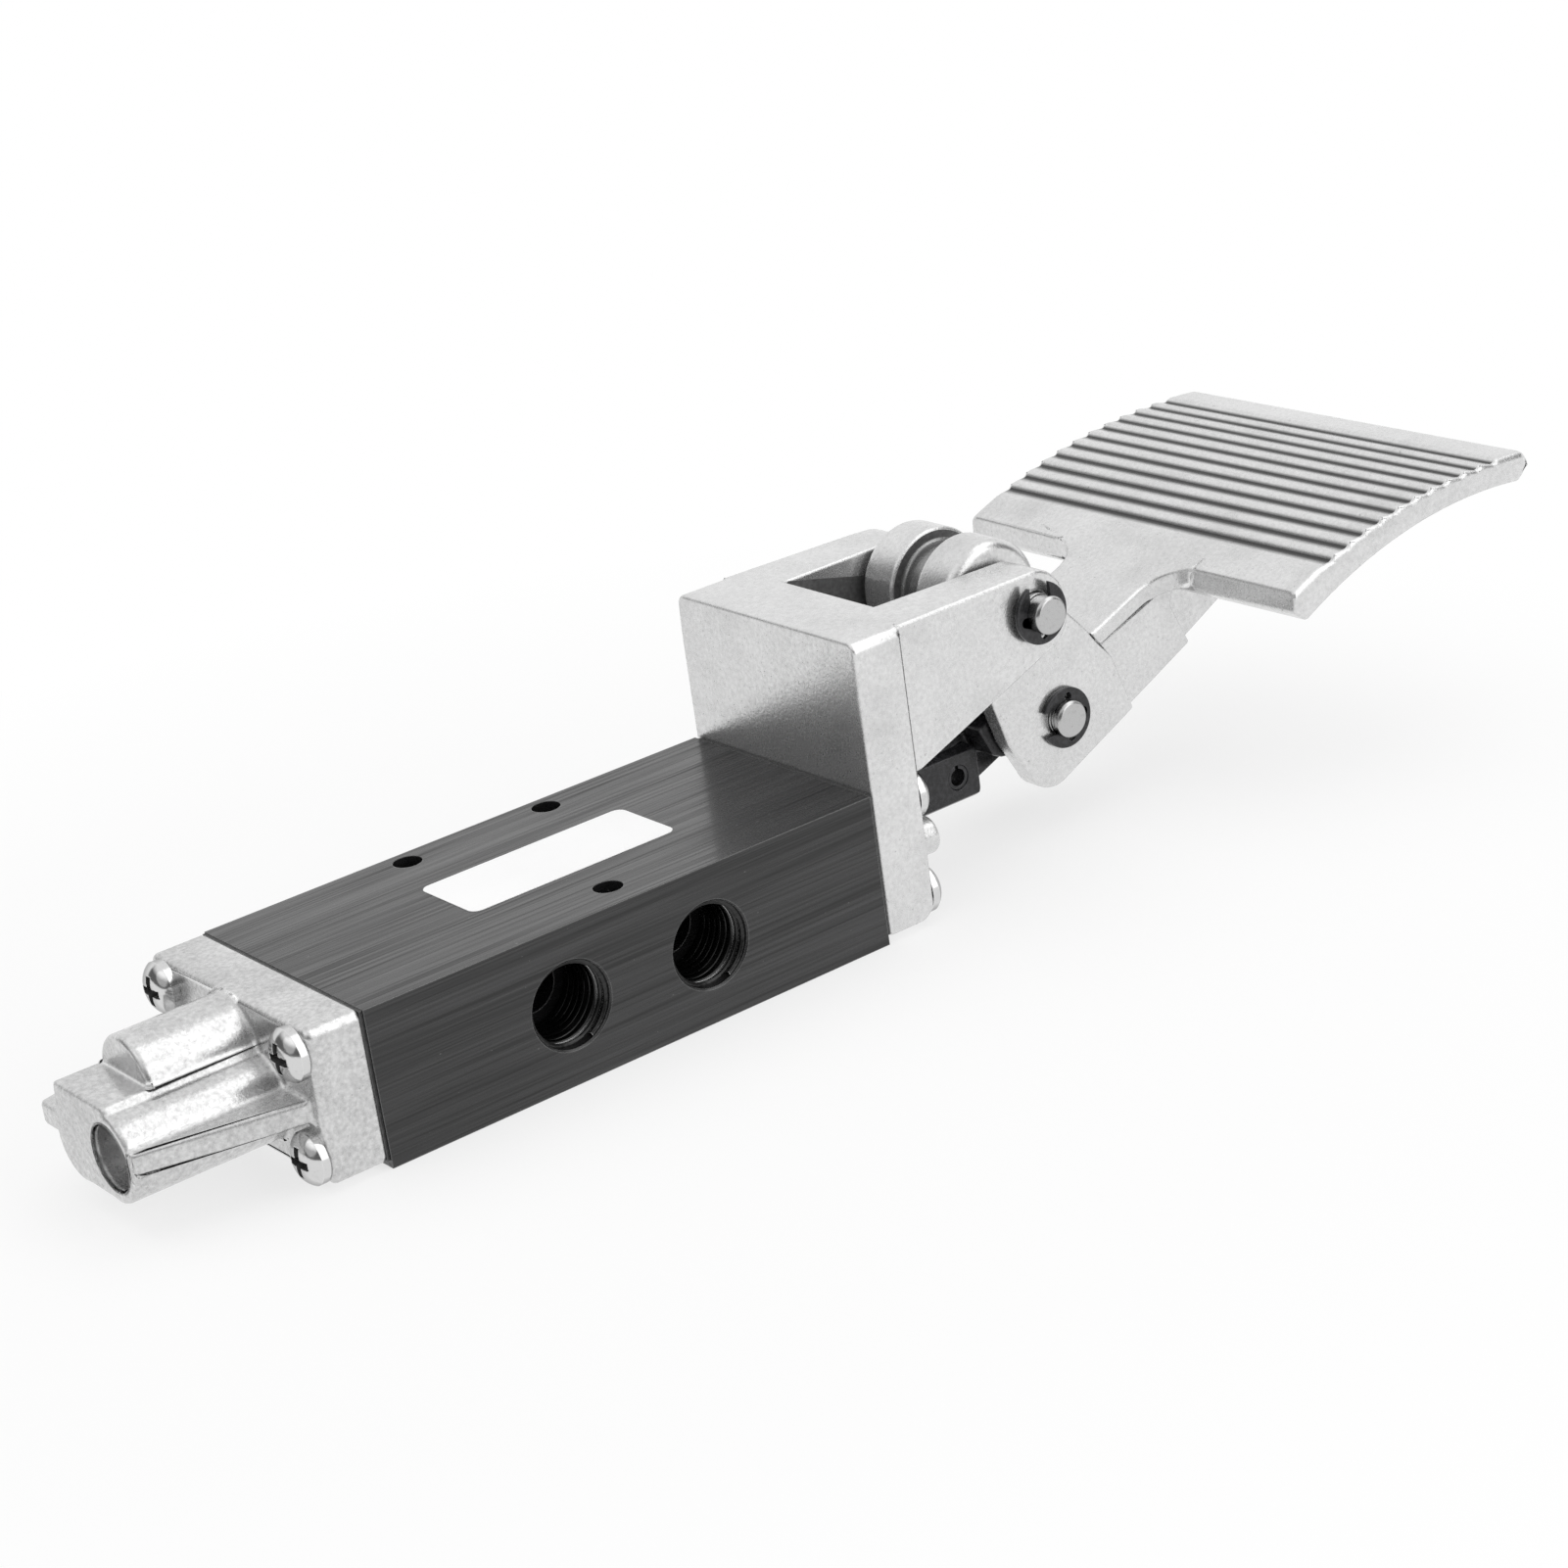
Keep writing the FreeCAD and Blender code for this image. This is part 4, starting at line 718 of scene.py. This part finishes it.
CROSS_WIDE = 0.6
CROSS_ENDS = {"front_cap_screws": (-57.5, -54.1), "bracket_screws": (57.5, 54.4)}
CROSS_REACH = 2.6 * MM


def scaled(colour, share):
    """A colour made darker or lighter by a share."""
    return tuple(min(1, part * share) for part in colour[:3]) + (1,)


def bright_metal(name, colour, roughness):
    """Plated, ground or turned metal with faint handling marks, and rims darkened towards a grazing
    view as a painted dark reflection.
    """
    material, tree, shader = new_material(name)
    marks = ramp(tree, noise(tree, piece_place(tree), METAL_MARKS, detail=5), *METAL_MARK_SPAN)
    edge = placed(tree, EDGES, Radius=METAL_WEAR)
    face = mixed(tree, marks, colour, scaled(colour, METAL_MARK_SHADE))
    rim = tree.nodes.new("ShaderNodeLayerWeight")
    rim.inputs["Blend"].default_value = RIM_BLEND
    # Painted dark reflection: rims turned away from view are darkened.
    turned = mixed(tree, ramp(tree, rim.outputs["Facing"], *RIM_SPAN), face, RIM_PAINTED_REFLECTION)
    tree.links.new(mixed(tree, edge["Edge"], turned, METAL_EDGE), shader["Base Color"])
    shader["Metallic"].default_value = 1.0
    rough = math_node(tree, "MULTIPLY_ADD", marks, METAL_MARK_ROUGHNESS, roughness)
    tree.links.new(rough, shader["Roughness"])
    bumped(tree, shader, marks, METAL_MARK_HEIGHT, METAL_MARK_RELIEF, edge["Normal"])
    return material


def black_surface(name, colour, roughness, metallic):
    """Black oxide or moulded black surface with worn edges."""
    material, tree, shader = new_material(name)
    marks = ramp(tree, noise(tree, piece_place(tree), BLACK_MARKS, detail=5), *BLACK_MARK_SPAN)
    edge = placed(tree, EDGES, Radius=BLACK_WEAR)
    face = mixed(tree, marks, colour, scaled(colour, BLACK_MARK_SHADE))
    worn = mixed(tree, edge["Edge"], face, scaled(colour, BLACK_EDGE_SHADE))
    tree.links.new(worn, shader["Base Color"])
    shader["Metallic"].default_value = metallic
    shader["Roughness"].default_value = roughness
    bumped(tree, shader, marks, BLACK_MARK_HEIGHT, BLACK_MARK_RELIEF, edge["Normal"])
    return material


def cross_cutter(outer, floor):
    """Four crosses, drawn in millimetres, that open the recesses of a cover's screws."""
    arm, wide = CROSS_ARM, CROSS_WIDE
    quarter = [(arm, -wide), (arm, wide), (wide, wide), (wide, arm), (-wide, arm), (-wide, wide)]
    outline = quarter + [(-y, -z) for y, z in quarter]
    shape = bmesh.new()
    for side in SCREW_SIDES:
        for level in SCREW_LEVELS:
            ends = []
            for x in (outer, floor):
                places = [Vector((x, side + y, level + z)) * MM for y, z in outline]
                ends.append([shape.verts.new(place) for place in places])
            for ring in ends:
                shape.faces.new(ring)
            for corner in range(len(outline)):
                after = (corner + 1) % len(outline)
                shape.faces.new((ends[0][corner], ends[0][after], ends[1][after], ends[1][corner]))
    bmesh.ops.recalc_face_normals(shape, faces=shape.faces)
    return from_shape("cross_cutter", shape)


nickel = bright_metal("bright nickel", NICKEL, roughness=0.14)
ground = bright_metal("ground steel", GROUND_STEEL, roughness=0.24)
oxide = black_surface("black oxide steel", OXIDE, roughness=0.22, metallic=0.2)
for name, width, body, slot, finish in (
    ("front_cap_screws", 0, "valve", "fastener", nickel),
    ("bracket_screws", 0, "valve", "fastener", nickel),
    ("fulcrum_pin", 0.1 * MM, "valve", "fastener", ground),
    ("link_pin", 0.1 * MM, "lever", "fastener", ground),
    ("fulcrum_clips", 0.1 * MM, "valve", "black_steel", oxide),
    ("link_pin_clips", 0.1 * MM, "lever", "black_steel", oxide),
    ("spool", 0.2 * MM, "spool", "black_steel", oxide),
    ("link", 0.4 * MM, "link", "black_steel", oxide),
    ("roll_pin", 0.1 * MM, "spool", "fastener", oxide),
):
    recessed = name in CROSS_ENDS
    skin = softened(name, width, cross_cutter(*CROSS_ENDS[name]) if recessed else None)
    dress(skin, finish)
    if recessed:
        # The walls of the cross recesses get the dark painted shade.
        darken_enclosed(skin, CROSS_REACH, painted_hollow_shade)
    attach(skin, body)
    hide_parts(name)

# Return spring. Wound steel wire between the front cover and the spring seat; in the valve its front
# end stays on the cover while the rear end follows the spool, so it shortens with the pedal. Here it
# is kept with the valve body, on a mesh of its own.
coil = softened("return_spring", 0)
coil.data.shade_smooth()
dress(coil, ground)
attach(coil, "valve")
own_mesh(coil)
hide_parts("return_spring")

# Seals, gaskets, guide bush and spring seat. The rings and sheets are black rubber, held in
# grooves and under the covers; the bush and the seat are turned brass, pressed in and slid on.
RUBBER = (0.02, 0.02, 0.02, 1)
BRASS = (0.72, 0.55, 0.28, 1)
rubber = black_surface("black rubber", RUBBER, roughness=0.6, metallic=0.0)
brass = bright_metal("turned brass", BRASS, roughness=0.28)
for name in ("front_gasket", "bracket_gasket", "spool_seals", "bush_seal", "rod_wiper"):
    dress(nodes[name], rubber)
for name in ("rear_guide_bush", "spring_seat"):
    dress(nodes[name], brass)

# Studio. A pale floor under soft lamps in a white tent, seen from the photograph's viewpoint.
# The floor glows for the camera, less so under the object, so that a soft shadow stays there.
EYE = Vector((-0.25007, -0.42087, 0.21974))
SIGHT = Vector((0.534894, 0.763999, -0.360824))
RIGHT = Vector((0.781237, -0.609862, -0.133182))
LENS = 83.06
SENSOR = 36
FLOOR_HALF = 3.0
FLOOR_LEVEL = -0.1 * MM
FLOOR_COLOUR = (0.92, 0.92, 0.92, 1)
FLOOR_ROUGHNESS = 0.9
FLOOR_SHEEN = 0.1
FLOOR_NEAR = 0.12
FLOOR_FAR = 0.22
FLOOR_SHADOW = 0.7
FLOOR_MIRRORED = 0.9
WHITE = (1, 1, 1, 1)
SKY = (0.9, 0.9, 0.9, 1)
SKY_STRENGTH = 0.6
ROOM = 0.14
TENT_TOP = (0.45, 0.72)
TENT_AHEAD = (0.34, 0.44)
SOFTBOX = Vector((0.53, -0.27, 0.8))
SOFTBOX_EDGE = (0.91, 0.97)
LAMP_AIM = Vector((0.03, 0, 0.02))
LAMPS = (
    ("overhead", (0.05, 0.15, 0.75), 1.2, 3.2, False),
    ("near side", (0.35, -0.75, 0.35), 0.8, 2.6, True),
    ("front side", (-0.7, -0.1, 0.45), 0.8, 0.6, True),
)


def blended(tree, share, first, second, target):
    """A mix of two shaders, by a share, on an output node."""
    item = tree.nodes.new("ShaderNodeMixShader")
    for slot, source in zip(item.inputs, (share, first, second)):
        tree.links.new(source, slot)
    tree.links.new(item.outputs["Shader"], target.inputs["Surface"])


def pale_floor():
    """White paper that glows for the camera and in the metal's reflections."""
    material, tree, shader = new_material("pale floor")
    shader["Base Color"].default_value = FLOOR_COLOUR
    shader["Roughness"].default_value = FLOOR_ROUGHNESS
    shader["Specular IOR Level"].default_value = FLOOR_SHEEN
    light = tree.nodes.new("ShaderNodeLightPath").outputs
    seen = math_node(tree, "MAXIMUM", light["Is Camera Ray"], light["Is Glossy Ray"])
    glow = tree.nodes.new("ShaderNodeEmission")
    glow.inputs["Color"].default_value = WHITE
    glow.inputs["Strength"].default_value = 1.0
    away = vector_node(tree, "LENGTH", piece_place(tree))["Value"]
    fade = ramp(tree, away, FLOOR_NEAR, FLOOR_FAR, FLOOR_SHADOW, 1.0)
    mirrored = math_node(tree, "MULTIPLY", light["Is Glossy Ray"], FLOOR_MIRRORED)
    share = math_node(tree, "MULTIPLY", seen, math_node(tree, "MAXIMUM", fade, mirrored))
    paper = tree.nodes["Principled BSDF"].outputs["BSDF"]
    blended(tree, share, paper, glow.outputs["Emission"], tree.nodes["Material Output"])
    return material


def lay_floor():
    """A wide square sheet just under the object."""
    ring = [(-1, -1), (1, -1), (1, 1), (-1, 1)]
    corners = [(x * FLOOR_HALF, y * FLOOR_HALF, FLOOR_LEVEL) for x, y in ring]
    mesh = bpy.data.meshes.new("floor")
    mesh.from_pydata(corners, [], [(0, 1, 2, 3)])
    floor = in_scene("floor", mesh)
    dress(floor, pale_floor())


def white_tent():
    """A plain sky for the object's own light; for reflections a dark room that is white overhead
    and ahead, with a brighter lamp face; and plain white behind the object."""
    world = bpy.data.worlds.new("studio")
    bpy.context.scene.world = world
    world.use_nodes = True
    sky = world.node_tree
    path = sky.nodes.new("ShaderNodeLightPath").outputs
    backdrop = sky.nodes["Background"]
    backdrop.inputs["Color"].default_value = SKY
    backdrop.inputs["Strength"].default_value = SKY_STRENGTH
    white = sky.nodes.new("ShaderNodeBackground")
    white.inputs["Color"].default_value = WHITE
    towards = sky.nodes.new("ShaderNodeTexCoord").outputs["Generated"]
    height = sky.nodes.new("ShaderNodeSeparateXYZ")
    sky.links.new(towards, height.inputs["Vector"])
    level_sight = Vector((SIGHT.x, SIGHT.y, 0)).normalized()
    ahead = vector_node(sky, "DOT_PRODUCT", towards, level_sight)["Value"]
    overhead = ramp(sky, height.outputs["Z"], *TENT_TOP)
    tent = math_node(sky, "MAXIMUM", overhead, ramp(sky, ahead, *TENT_AHEAD))
    room = math_node(sky, "MULTIPLY_ADD", tent, 1 - ROOM, ROOM)
    lamp_face = vector_node(sky, "DOT_PRODUCT", towards, SOFTBOX.normalized())["Value"]
    lit = math_node(sky, "ADD", room, ramp(sky, lamp_face, *SOFTBOX_EDGE))
    seen = path["Is Camera Ray"]
    plain = math_node(sky, "MULTIPLY", lit, math_node(sky, "SUBTRACT", 1.0, seen))
    sky.links.new(math_node(sky, "ADD", plain, seen), white.inputs["Strength"])
    straight = math_node(sky, "MAXIMUM", seen, path["Is Glossy Ray"])
    bright = math_node(sky, "MAXIMUM", straight, path["Is Transmission Ray"])
    plain_sky, white_sky = backdrop.outputs["Background"], white.outputs["Background"]
    blended(sky, bright, plain_sky, white_sky, sky.nodes["World Output"])


def hang_lamps():
    """Large round lamps aimed at the object."""
    for name, place, size, power, mirrored in LAMPS:
        lamp = bpy.data.lights.new(name, "AREA")
        lamp.shape = "DISK"
        lamp.size = size
        lamp.energy = power
        holder = in_scene(name, lamp)
        holder.location = place
        holder.visible_glossy = mirrored
        holder.rotation_euler = (LAMP_AIM - Vector(place)).to_track_quat("-Z", "Y").to_euler()


def set_camera():
    """The camera at the photograph's viewpoint."""
    camera = bpy.data.cameras.new("camera")
    camera.lens = LENS
    camera.sensor_width = SENSOR
    camera.clip_start = 0.01
    holder = in_scene("camera", camera)
    turn = Matrix((RIGHT, RIGHT.cross(SIGHT), -SIGHT)).transposed().to_4x4()
    holder.matrix_world = Matrix.Translation(EYE) @ turn
    bpy.context.scene.camera = holder


bpy.context.scene.view_settings.view_transform = "Standard"
lay_floor()
white_tent()
hang_lamps()
set_camera()
